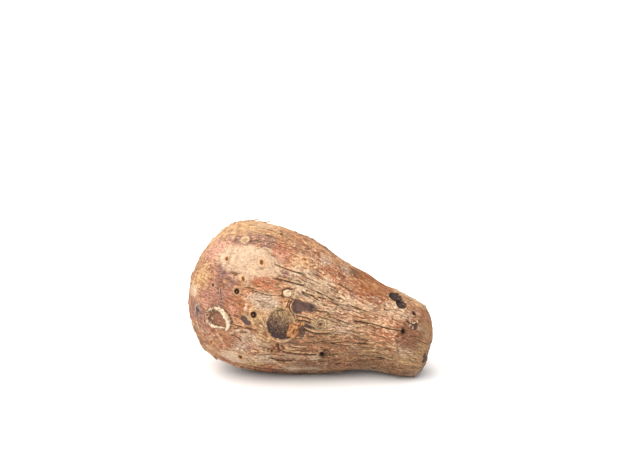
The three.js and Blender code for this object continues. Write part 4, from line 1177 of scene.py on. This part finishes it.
class TARO_PG_stage(bpy.types.PropertyGroup):
    """Floor, light and camera."""
    floor_half: bpy.props.FloatProperty(
        name="Floor half size", description="Half the side of the floor", default=3.0, unit="LENGTH")
    azimuth: bpy.props.FloatProperty(
        name="Camera azimuth", description="Turn of the camera round the corm", default=math.radians(8),
        subtype="ANGLE")
    elevation: bpy.props.FloatProperty(
        name="Camera elevation", description="Height angle of the camera", default=math.radians(15),
        subtype="ANGLE")
    distance: bpy.props.FloatProperty(
        name="Camera distance", description="From the corm to the camera", default=0.637, unit="LENGTH")
    lens: bpy.props.FloatProperty(
        name="Lens", description="Focal length in mm on a 36 mm sensor", default=85.0)


# The columns beside a fissure: mm from its middle, and the gap in mm between fissures that still holds them.
CLOSE_COLUMNS = [0, 0.18, 0.36, 0.62]
NARROW_GAP = 2.6


def bark_columns(skin, per_fissure):
    """Labels of the skin's columns at each skin distance: from every fissure to the next, close together
    beside the fissures and even between. Where the gap is narrow, the close ones shrink with it."""
    radius = radius_at(skin)
    count = 2 * FISSURES
    gap = 360 / count * radius * math.pi / 180
    fine = np.array(CLOSE_COLUMNS) * np.minimum(1, gap / NARROW_GAP)
    middle = fine[:, 3:] + (gap - 2 * fine[:, 3:]) * np.linspace(0, 1, per_fissure - 5)[None, 1:-1]
    offsets = np.concatenate([fine, middle, gap - fine[:, :0:-1]], 1) / gap
    lines = [fissure_label(index, skin) for index in range(count + 1)]
    return np.concatenate([here + (there - here) * offsets for here, there in zip(lines, lines[1:])], 1)


class TARO_OT_skin(bpy.types.Operator):
    """Builds the bark over the solid corm"""
    bl_idname = "taro.skin"
    bl_label = "Bark"

    def execute(self, context):
        settings = context.scene.taro_skin
        rows = settings.rows
        skin = np.linspace(0, SKIN_LENGTH, rows + 2)[1:-1][:, None]
        around = bowed(bark_columns(skin, settings.columns), skin)
        columns = around.shape[1]
        all_skin = np.concatenate([np.broadcast_to(skin, around.shape).reshape(-1), [0, SKIN_LENGTH]])
        all_around = np.concatenate([around.reshape(-1), [0, 0]])
        column = np.arange(columns)
        beside = (column + 1) % columns
        tip, end, last = rows * columns, rows * columns + 1, (rows - 1) * columns
        faces = [grid_faces(rows, columns), np.stack([np.full(columns, tip), column, beside], -1),
                 np.stack([last + column, np.full(columns, end), last + beside], -1)]

        u = np.arange(columns + 1) / columns
        v = skin[:, 0] / SKIN_LENGTH
        row, col = np.meshgrid(np.arange(rows - 1), column, indexing="ij")
        corners = [np.stack([u[col + right], v[row + down]], -1)
                   for right, down in ((0, 0), (0, 1), (1, 1), (1, 0))]
        left, middle, right = u[:-1], (u[:-1] + u[1:]) / 2, u[1:]
        fans = [np.stack([np.stack([across, np.full(columns, down)], -1) for across, down in points], 1)
                for points in (((middle, 0), (left, v[0]), (right, v[0])),
                               ((left, v[-1]), (middle, 1), (right, v[-1])))]
        uv = np.concatenate([part.reshape(-1, 2) for part in (np.stack(corners, -2), *fans)])
        bark = taro_bark(settings.base_hex)
        piece = add_bark_piece("corm_bark", all_skin, all_around, 0.0, faces, bark, bedded=True, uv=uv)
        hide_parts("corm")
        return {"FINISHED"}


class TARO_OT_scars(bpy.types.Operator):
    """Lays fine discs over the root scars and the side corms' scars"""
    bl_idname = "taro.scars"
    bl_label = "Scars"

    def execute(self, context):
        bark = bpy.data.materials["taro_bark"]
        rings = context.scene.taro_relief.scar_rings
        small = [(at, turn, rim, rim) for at, turn, rim, *_ in ALL_ROOT_SCARS]
        large = [(at, turn, half_along, half_across) for at, turn, half_along, half_across, *_ in BOWLS]
        for name, places, count, reach, crumb, bed in (
                ("root_scars", small, rings, SCAR_DISC, 0.05, SCAR_BED),
                ("side_corm_scars", large, rings * 2, BOWL_DISC, 0.16, BOWL_BED)):
            skin, around, share, faces = discs(places, count, count * 3, reach)
            rough = layered_noise(grain_point(skin, around) * 0.9, NOISE_SEEDS["scar floor"], 3)
            rough = crumb * rough * smooth_step(0.85, 0.6, share)
            sunk = -bed * 1.1 * smooth_step(0.88, 1.0, share)
            rise = np.where(share < 0, -bed - 0.9, rough + sunk + 0.02)
            add_bark_piece(name, skin, around, rise, faces, bark)
        return {"FINISHED"}


def route_points(routes, stations):
    """Even places on smooth curves through each route's points."""
    share = np.linspace(0, 1, stations)
    curves = np.stack([smooth_curve(np.array(route, float), share) for route in routes])
    return curves[..., 0], curves[..., 1]


# Where no edge, strip or hair is drawn at random, besides the scars: skin, around, half length, half width.
KEPT_CLEAR = [(35, COLLAR["around"], 9, 6), (95, 84, 12, 12), (59, -33, 7, 5), (69, -20, 8, 5),
              (69, 19, 6, 6), (44, 44, 10, 8), (76, 6, 8, 4), (37, 14, 8, 4)]


def clear_of_marks(skin, around):
    """How many times further than its own size the nearest scar or kept place is from a path."""
    kept = KEPT_CLEAR + [(at, turn, along * 1.3, across * 1.3) for at, turn, along, across, *_ in BOWLS]
    kept = kept + [(at, turn, rim * 1.6, rim * 1.6) for at, turn, rim, *_ in ROOT_SCARS]
    radius = radius_at(skin)
    away = [np.hypot((skin - at) / along, across_mm(around, turn, radius) / across).min(-1)
            for at, turn, along, across in kept]
    return np.min(away, 0)


def drawn_paths(rng, count, stations, longest, shortest, low, high):
    """Paths that follow the grain from random places, none of them over a scar or a kept place."""
    share = np.linspace(-0.5, 0.5, stations)
    skins, arounds = [], []
    while len(skins) < count:
        start = rng.uniform(low, high)
        label = rng.uniform(0, 360)
        length = shortest + (longest - shortest) * rng.uniform() ** 2
        drift = rng.uniform(-4, 4)
        bend = rng.uniform(-3, 3)
        skin = start + share * length
        around = bowed(label + drift * share + bend * np.cos(share * 5 + label), skin)
        if clear_of_marks(skin, around) > 1:
            skins.append(skin)
            arounds.append(around)
    return np.array(skins), np.array(arounds)


class TARO_OT_torn_edges(bpy.types.Operator):
    """Adds the torn edges, where the bark has split and one side stands a little proud"""
    bl_idname = "taro.torn_edges"
    bl_label = "Torn edges"

    def execute(self, context):
        routes, *measures = zip(*TORN_EDGES)
        skin, around = route_points(routes, stations=64)
        self.raise_edges("bark_folds", skin, around, *np.array(measures, float))
        rng = np.random.default_rng(SEEDS["torn edges"])
        count = context.scene.taro_relief.torn_edges
        skin, around = drawn_paths(rng, count, stations=22, longest=20, shortest=5, low=40, high=118)
        half_width, high = rng.uniform(0.35, 0.75, count), rng.uniform(0.15, 0.4, count)
        side, clear = rng.choice([-1, 1], count), rng.uniform(0.3, 0.7, count)
        self.raise_edges("torn_bark_edges", skin, around, half_width, high, side, clear)
        return {"FINISHED"}

    def raise_edges(self, name, skin, around, half_width, high, side, clear):
        """One edge along each path. Its section, across and up: the bark rises gently to its lip, drops, and
        leaves a dark strip at its foot, bare bark with a painted shadow under the lip. Width and height fall
        off to both ends as the root of a sine."""
        share = np.linspace(0, 1, skin.shape[1])
        taper = np.sin(share * math.pi)[None] ** 0.5
        ragged = layered_noise(grain_point(skin, around) * (0.3, 0.3, 0.5), NOISE_SEEDS["torn edges"], 3)
        uneven = 1 + 0.35 * ragged
        section = [(-1, -0.5), (-0.8, 0.05), (-0.4, 0.4), (-0.05, 0.85), (0.2, 1), (0.34, 0.9), (0.4, 0.35),
                   (0.56, 0.26), (0.92, 0.22), (1.1, -0.5), (0.1, -0.9)]
        lips = np.array([0, 0.1, 0.5, 0.85, 1.0, 0.85, 0.1, 0, 0, 0, 0])
        # Dark at the foot of the section: painted shadow under the lip on the bare strip.
        cracks = np.array([0, 0, 0, 0, 0, 0.1, 1.1, 1.3, 0.8, 0, 0])
        clear = np.asarray(clear)[:, None, None]
        place, turn, rise, faces = sweep(skin, around, half_width[:, None] * taper * uneven,
                                         high[:, None] * taper * uneven, section, side)

        def colour_lips_and_foot_shadow(fields):
            mask_of(fields, "lips")[...] = lips * clear
            mask_of(fields, "cracks")[...] = cracks * (0.35 + 0.65 * clear)
            mask_of(fields, "smooth")[...] *= 0.3

        add_bark_piece(name, place, turn, rise, faces, bpy.data.materials["taro_bark"], colour_lips_and_foot_shadow)


class TARO_OT_strips(bpy.types.Operator):
    """Adds thin strips of bark that lie loose along the grain, some with a lifted end"""
    bl_idname = "taro.strips"
    bl_label = "Bark strips"

    def execute(self, context):
        rng = np.random.default_rng(SEEDS["strips"])
        count = context.scene.taro_relief.strips
        stations = 10
        skin, around = drawn_paths(rng, count, stations, longest=11, shortest=3, low=24, high=112)
        # About a third of those on the bulb move to its low front.
        low = np.arange(count) < count * 0.35
        shift = turn_between(rng.uniform(-75, -8, count), around.mean(1))
        around = around + np.where(low & (skin.mean(1) < 70), shift, 0)[:, None]
        kept = clear_of_marks(skin, around) > 1
        skin, around = skin[kept], around[kept]
        count = len(skin)
        share = np.linspace(0, 1, stations)[None]
        half_width = rng.uniform(0.25, 0.65, count)[:, None] * np.sin(0.12 + share * (math.pi - 0.24)) ** 0.6
        ragged = layered_noise(grain_point(skin, around) * 0.8, NOISE_SEEDS["strips"], 2)
        half_width = half_width * (1 + 0.3 * ragged)
        high = rng.uniform(0.12, 0.28, count)[:, None] + 0 * share
        section = [(-1, 0.1), (-0.7, 0.9), (0, 1.2), (0.6, 1), (1, 0.2), (0.7, -0.6), (-0.6, -0.7)]
        place, turn, rise, faces = sweep(skin, around, half_width, high, section)
        lift = rng.uniform(0, 0.9, count) ** 2
        rise = rise + (lift[:, None] * smooth_step(0.45, 1.0, share))[..., None]
        # Each strip is cream, rust or gold.
        family = rng.integers(0, 3, count)

        def colour_strips(fields):
            for number, (name, strength) in enumerate((("cream", 1.0), ("rust", 0.55), ("gold", 0.9))):
                mask = mask_of(fields, name)
                mask[...] = np.where(family[:, None, None] == number, strength, mask * 0.3)
            for name in ("cracks", "lips", "scar near"):
                mask_of(fields, name)[...] = 0

        bark = bpy.data.materials["taro_bark"]
        add_bark_piece("bark_strips", place, turn, rise, faces, bark, colour_strips)
        return {"FINISHED"}


class TARO_OT_curls(bpy.types.Operator):
    """Adds the curled collar of dry bark, the torn orange flake by the large scar and the pale frayed bit"""
    bl_idname = "taro.curls"
    bl_label = "Collar and flakes"

    def execute(self, context):
        self.collar()
        self.flake()
        self.frayed_bit()
        return {"FINISHED"}

    def collar(self):
        """Lips of curled bark round the hollow, carried along their routes: one long thick one on the neck's
        side that thins below, and small crumpled ones at its upper start."""
        stations = 110
        skin, around = route_points([route for route, _, _ in COLLAR_LIPS], stations)
        share = np.linspace(0, 1, stations)
        half_width = np.array([np.interp(share, [0, 0.48, 1], widths) for _, widths, _ in COLLAR_LIPS])
        high = np.array([np.interp(share, [0, 0.5, 1], heights) for _, _, heights in COLLAR_LIPS])
        number = np.arange(len(COLLAR_LIPS))[:, None] + 0 * share
        coarse = np.stack([share * 11 + 0 * number, number * 3.1, number * 0], -1)
        folds = layered_noise(coarse, NOISE_SEEDS["collar folds"], 4)
        fine = np.stack([share * 26 + 0 * number, number * 5.3, number * 0 + 0.5], -1)
        ripple = layered_noise(fine, NOISE_SEEDS["collar ripple"], 3)
        taper = np.sin(0.1 + share * (math.pi - 0.2)) ** 0.45
        half_width = half_width * taper * (1 + 0.2 * folds + 0.25 * ripple)
        high = high * taper * (1 + 0.35 * folds + 0.2 * ripple)
        section = [(1, -0.5), (1.0, 0.15), (0.85, 0.6), (0.5, 0.9), (0.1, 1.05), (-0.3, 1.08), (-0.7, 1.0),
                   (-1.0, 0.75), (-0.95, 0.5), (-0.6, 0.55), (-0.2, 0.35), (0.1, 0.1), (0.2, -0.6)]
        place, turn, rise, faces = sweep(skin, around, half_width, high, section)
        faces = [group[:, ::-1] for group in faces]
        strand = np.arange(len(section)) * 1.1
        place_on_lip = np.broadcast_arrays((share * 16)[:, None], strand, number[..., None] * 7.0)
        grooves = layered_noise(np.stack(place_on_lip, -1), NOISE_SEEDS["collar grooves"], 3)
        rise = rise + 0.16 * grooves
        # Tint by the section's points: pale on the crest, darker down the sides and underneath, painted light
        # and shade on the curl; paler too where the grooves rise.
        tint = np.array([-0.5, -0.3, 0.0, 0.25, 0.35, 0.4, 0.3, 0.0, -0.3, -0.5, -0.6, -0.6, -0.6])
        warm = np.array([0.08, 0.15, 0.3, 0.35, 0.2, 0.3])[:, None, None]
        bark = dry_fibre("curled_bark", "#6b4c37", "#e0cfb4")
        add_fibre_piece("collar_curl", place, turn, rise, faces, tint + 0.6 * grooves - warm, bark)
        rng = np.random.default_rng(SEEDS["collar"])
        count = 46
        where = np.radians(rng.uniform(60, 230, count))
        out = rng.uniform(0.75, 1.25, count)
        skin = COLLAR["skin"] + COLLAR["along"] * out * np.cos(where)
        around = COLLAR["around"] + degrees_of(COLLAR["across"] * out * np.sin(where), BULB_RADIUS)
        heading = where + math.pi / 2 + rng.normal(0, 0.5, count)
        self.shreds("collar_shreds", rng, skin, around, heading, bark, longest=1.9, widest=0.3, lift=0.4)

    def shreds(self, name, rng, skin, around, heading, material, longest=1.8, widest=0.35, lift=0.5):
        """Short thin scraps: a flat lens carried along a straight path, its far end lifted."""
        count = len(skin)
        stations = 8
        share = np.linspace(0, 1, stations)[None]
        length = rng.uniform(0.45, 1, (count, 1)) * longest
        bend = rng.uniform(-1, 1, (count, 1))
        radius = radius_at(skin[:, None])
        way = heading[:, None] + bend * share
        skin = skin[:, None] + np.cumsum(np.cos(way), 1) * length / stations
        around = around[:, None] + degrees_of(np.cumsum(np.sin(way), 1) * length / stations, radius)
        half_width = rng.uniform(0.5, 1, (count, 1)) * widest * np.sin(0.3 + share * (math.pi - 0.5)) ** 0.7
        high = rng.uniform(0.1, 0.2, (count, 1)) + 0 * share
        section = [(-1, 0), (-0.8, 0.8), (0, 1.3), (0.7, 0.9), (1, 0.1), (0.5, -0.7), (-0.5, -0.8)]
        place, turn, rise, faces = sweep(skin, around, half_width, high, section)
        raised = rng.uniform(0, 1, (count, 1)) * lift
        rise = rise + (raised * (0.4 + share ** 2))[..., None]
        tint = (rng.uniform(-0.4, 0.5, (count, 1)) + 0.3 * share - 0.15)[..., None]
        add_fibre_piece(name, place, turn, rise, faces, tint, material)

    def flake(self):
        """A squarish scrap of cork over the large scar's edge, and a smaller one beside it: discs whose
        radius is stretched towards a square, with ragged rims and a rough top."""
        centres = np.array([(68.4, -1.4, 1, 1), (71.3, 6.6, 1, 1)], float)
        halves = np.array([(2.15, 3.3), (1.05, 0.8)])[:, None]
        skin, around, share, faces = discs(centres, rings=16, sectors=64, reach=1.0)
        radius = radius_at(skin)
        along = skin - centres[:, :1]
        across = across_mm(around, centres[:, 1:2], radius)
        away = np.maximum(np.hypot(along, across), 0.001)
        square = np.maximum((np.abs(along) / away) ** 5 + (np.abs(across) / away) ** 5, 0.1) ** -0.2
        angle = np.arctan2(across, along)
        rim = [3.4 * np.cos(angle), 3.4 * np.sin(angle), 0 * angle + centres[:, :1]]
        ragged = layered_noise(np.stack(rim, -1), NOISE_SEEDS["flake rim"], 3)
        square = square * (1 + 0.22 * ragged)
        skin = centres[:, :1] + along * square * halves[..., 0]
        around = centres[:, 1:2] + degrees_of(across * square * halves[..., 1], radius)
        rough = layered_noise(grain_point(skin, around) * 0.7, NOISE_SEEDS["flake top"], 4)
        notch = np.exp(-((along * square - 0.1) / 0.09) ** 2 - ((across * square - 0.1) / 0.4) ** 2)
        top = (1.15 + 0.45 * rough) * (1 - share ** 10) - 0.35 * share ** 10 - 0.5 * notch
        rise = np.where(share < 0, -0.8, top)
        edge = bell(along * square, 0.32, 0.08) + bell(along * square, -0.85, 0.1)
        cork = dry_fibre("torn_cork_flake", "#6d4124", "#cc9a68")
        # Darker in the notch and towards the rim and underside: painted shade in the fold and down the
        # flake's sides. Paler along two lines across it.
        tint = 0.05 + 0.35 * rough - 0.7 * notch + 0.2 * edge - 0.4 * np.abs(share) ** 12
        tint = tint + np.array([0, 0.2])[:, None]
        add_fibre_piece("torn_flake", skin, around, rise, faces, tint, cork)
        rng = np.random.default_rng(SEEDS["flake"])
        count = 14
        skin = 70.2 + rng.normal(0, 1.0, count)
        around = rng.uniform(-8, 8, count)
        heading = rng.uniform(0, 2 * math.pi, count)
        self.shreds("flake_shreds", rng, skin, around, heading, cork)

    def frayed_bit(self):
        """Two low lumpy discs, risen by layers of noise and sunk at their rims, with a few scraps, and scraps
        beside the pit near the neck's end."""
        centres = [(62.1, 27.2, 2.0, 1.8), (65.5, 27.6, 1.9, 1.8)]
        skin, around, share, faces = discs(centres, rings=14, sectors=48, reach=1.0)
        lumps = layered_noise(grain_point(skin, around) * 0.9, NOISE_SEEDS["frayed lumps"], 4)
        rise = np.where(share < 0, -1.0, (0.75 + 0.7 * lumps) * (1 - share ** 4) - 0.5 * share ** 2)
        cork = dry_fibre("frayed_cork", "#86644a", "#dcc8a8")
        first = np.array([0.3, -0.05])[:, None]
        add_fibre_piece("frayed_bit", skin, around, rise, faces, first + 0.5 * lumps, cork)
        rng = np.random.default_rng(SEEDS["frayed bits"])
        for name, count, middle, turn, spread in (
                ("frayed_shreds", 18, 64.0, 28.6, 2.2), ("neck_shreds", 16, 116.2, 43, 5)):
            skin = middle + rng.normal(0, 1.3, count)
            around = turn + rng.normal(0, spread, count)
            heading = rng.uniform(0, 2 * math.pi, count)
            self.shreds(name, rng, skin, around, heading, cork)


class TARO_OT_hairs(bpy.types.Operator):
    """Adds the withered root hairs"""
    bl_idname = "taro.hairs"
    bl_label = "Root hairs"

    def execute(self, context):
        settings = context.scene.taro_hairs
        rng = np.random.default_rng(SEEDS["hairs"])
        count = settings.count
        stations = 12
        share = np.linspace(0, 1, stations)[None]
        each = (count, 1)
        length = 2 + 7.5 * rng.uniform(size=each) ** 2.5
        heading = rng.uniform(0, 2 * math.pi, each)
        turning = rng.uniform(-2.5, 2.5, each)
        start = rng.uniform(18, 125, each)
        on_top = rng.uniform(size=each) < 0.35
        turn = np.where(on_top, rng.uniform(66, 110, each), rng.uniform(0, 360, each))
        high = rng.uniform(0.1, 0.5, each) * length * rng.choice([0.25, 1], each, p=[0.7, 0.3])
        clear = np.array(CLEAR_HAIRS)[:, :, None]
        start, turn, length, heading, turning, high = (
            np.concatenate([drawn, clear[:, k]]) for k, drawn in enumerate(
                (start, turn, length, np.degrees(heading), turning, high)))
        heading = np.radians(heading)
        count = len(start)
        way = heading + turning * share
        skin = start + np.cumsum(np.cos(way), 1) * length / stations
        radius = radius_at(skin)
        around = turn + degrees_of(np.cumsum(np.sin(way), 1) * length / stations, radius)
        arch = rng.uniform(1.6, 3.0, (count, 1))
        rise = -0.3 + 0.45 * np.minimum(share * 8, 1) + high * np.sin(share * arch)
        rise = rise + 0.12 * np.sin(share * 17 + heading)
        angle = -np.arange(5) * 2 * math.pi / 5
        section = np.stack([np.cos(angle), np.sin(angle)], -1)
        thin = settings.radius * (1.15 - 0.7 * share) * rng.uniform(0.6, 1.2, (count, 1))
        tint = rng.uniform(-0.25, 0.4, (count, 1))
        # The listed hairs stay, whatever they cross.
        kept = (clear_of_marks(skin, around) > 1) | (np.arange(count) >= settings.count)
        skin, around, rise, thin, tint = (values[kept] for values in (skin, around, rise, thin, tint))
        place, around, up, faces = sweep(skin, around, thin, thin, section)
        fibre = dry_fibre("dry_root_hair", "#4b3323", "#c2a67c")
        add_fibre_piece("root_hairs", place, around, up + rise[..., None], faces, tint[..., None], fibre)
        return {"FINISHED"}


# The picture: the sensor's width in mm, its width in pixels, how many of them the corm's middle stands left
# of and below the picture's middle, and how high above the floor in metres that middle is.
SENSOR_WIDTH = 36
PICTURE_WIDTH = 640
CORM_LEFT = 9.9
CORM_BELOW = 69.0
CORM_MIDDLE = 0.030


class TARO_OT_stage(bpy.types.Operator):
    """Adds the pale floor, the soft studio lights and the camera"""
    bl_idname = "taro.stage"
    bl_label = "Stage"

    def execute(self, context):
        settings = context.scene.taro_stage
        half = settings.floor_half
        mesh = bpy.data.meshes.new("floor")
        corners = [(-half, -half, 0), (half, -half, 0), (half, half, 0), (-half, half, 0)]
        mesh.from_pydata(corners, [], [(0, 1, 2, 3)])
        floor = bpy.data.objects.new("floor", mesh)
        context.scene.collection.objects.link(floor)
        material, add = start_material("matt_pale_card")
        shader = add("BsdfPrincipled", named={
            "Base Color": "#e0e1e3", "Roughness": 0.9, "Specular IOR Level": 0.1})
        add("OutputMaterial", shader)
        mesh.materials.append(material)

        world = bpy.data.worlds.new("studio_air")
        world.use_nodes = True
        world.node_tree.nodes.clear()
        background = node(world.node_tree, "Background", "#ffffff", 1.0)
        node(world.node_tree, "OutputWorld", background)
        context.scene.world = world
        context.scene.view_settings.view_transform = "Standard"

        # Broad lights: the direction that each comes from, its strength, how broad it looks, and its colour.
        for name, toward, strength, breadth, colour in (
                ("key_light", (-0.33, -0.5, 0.8), 3.9, 75, "#fff7ee"),
                ("rim_light", (-0.45, 0.6, 0.65), 1.4, 45, "#fff0e0")):
            light = bpy.data.lights.new(name, "SUN")
            light.energy = strength
            light.angle = math.radians(breadth)
            light.color = srgb(colour)[:3]
            lamp = bpy.data.objects.new(name, light)
            lamp.rotation_euler = Vector(toward).to_track_quat("Z", "Y").to_euler()
            context.scene.collection.objects.link(lamp)

        level = math.cos(settings.elevation)
        back = Vector((math.sin(settings.azimuth) * level, -math.cos(settings.azimuth) * level,
                       math.sin(settings.elevation)))
        right = (-back).cross(Vector((0, 0, 1))).normalized()
        up = right.cross(-back)
        per_pixel = settings.distance * SENSOR_WIDTH / settings.lens / PICTURE_WIDTH
        target = Vector((0, 0, CORM_MIDDLE)) + right * CORM_LEFT * per_pixel + up * CORM_BELOW * per_pixel
        camera = bpy.data.cameras.new("camera")
        camera.lens = settings.lens
        camera.sensor_width = SENSOR_WIDTH
        viewer = bpy.data.objects.new("camera", camera)
        viewer.location = target + back * settings.distance
        viewer.rotation_euler = back.to_track_quat("Z", "Y").to_euler()
        context.scene.collection.objects.link(viewer)
        context.scene.camera = viewer
        return {"FINISHED"}


class TARO_PT_panel(bpy.types.Panel):
    """Lists the corm's pieces and their settings"""
    bl_idname = "TARO_PT_panel"
    bl_label = "Taro corm"
    bl_space_type = "VIEW_3D"
    bl_region_type = "UI"
    bl_category = "Taro corm"

    def draw(self, context):
        scene = context.scene
        for key, operators in (
                ("taro_skin", ("skin",)), ("taro_relief", ("scars", "torn_edges", "strips", "curls")),
                ("taro_hairs", ("hairs",)), ("taro_stage", ("stage",))):
            group = getattr(scene, key)
            box = self.layout.box()
            for setting in group.__annotations__:
                box.prop(group, setting)
            for operator in operators:
                box.operator("taro." + operator)


GROUPS = {"taro_skin": TARO_PG_skin, "taro_relief": TARO_PG_relief, "taro_hairs": TARO_PG_hairs,
          "taro_stage": TARO_PG_stage}
CLASSES = (*GROUPS.values(), TARO_OT_skin, TARO_OT_scars, TARO_OT_torn_edges, TARO_OT_strips, TARO_OT_curls,
           TARO_OT_hairs, TARO_OT_stage, TARO_PT_panel)


def register():
    for each in CLASSES:
        bpy.utils.register_class(each)
    for key, group in GROUPS.items():
        setattr(bpy.types.Scene, key, bpy.props.PointerProperty(type=group))


def unregister():
    for key in GROUPS:
        delattr(bpy.types.Scene, key)
    for each in reversed(CLASSES):
        bpy.utils.unregister_class(each)


def main():
    register()
    for name in ("skin", "scars", "torn_edges", "strips", "curls", "hairs", "stage"):
        getattr(bpy.ops.taro, name)()


if __name__ == "__main__":
    main()
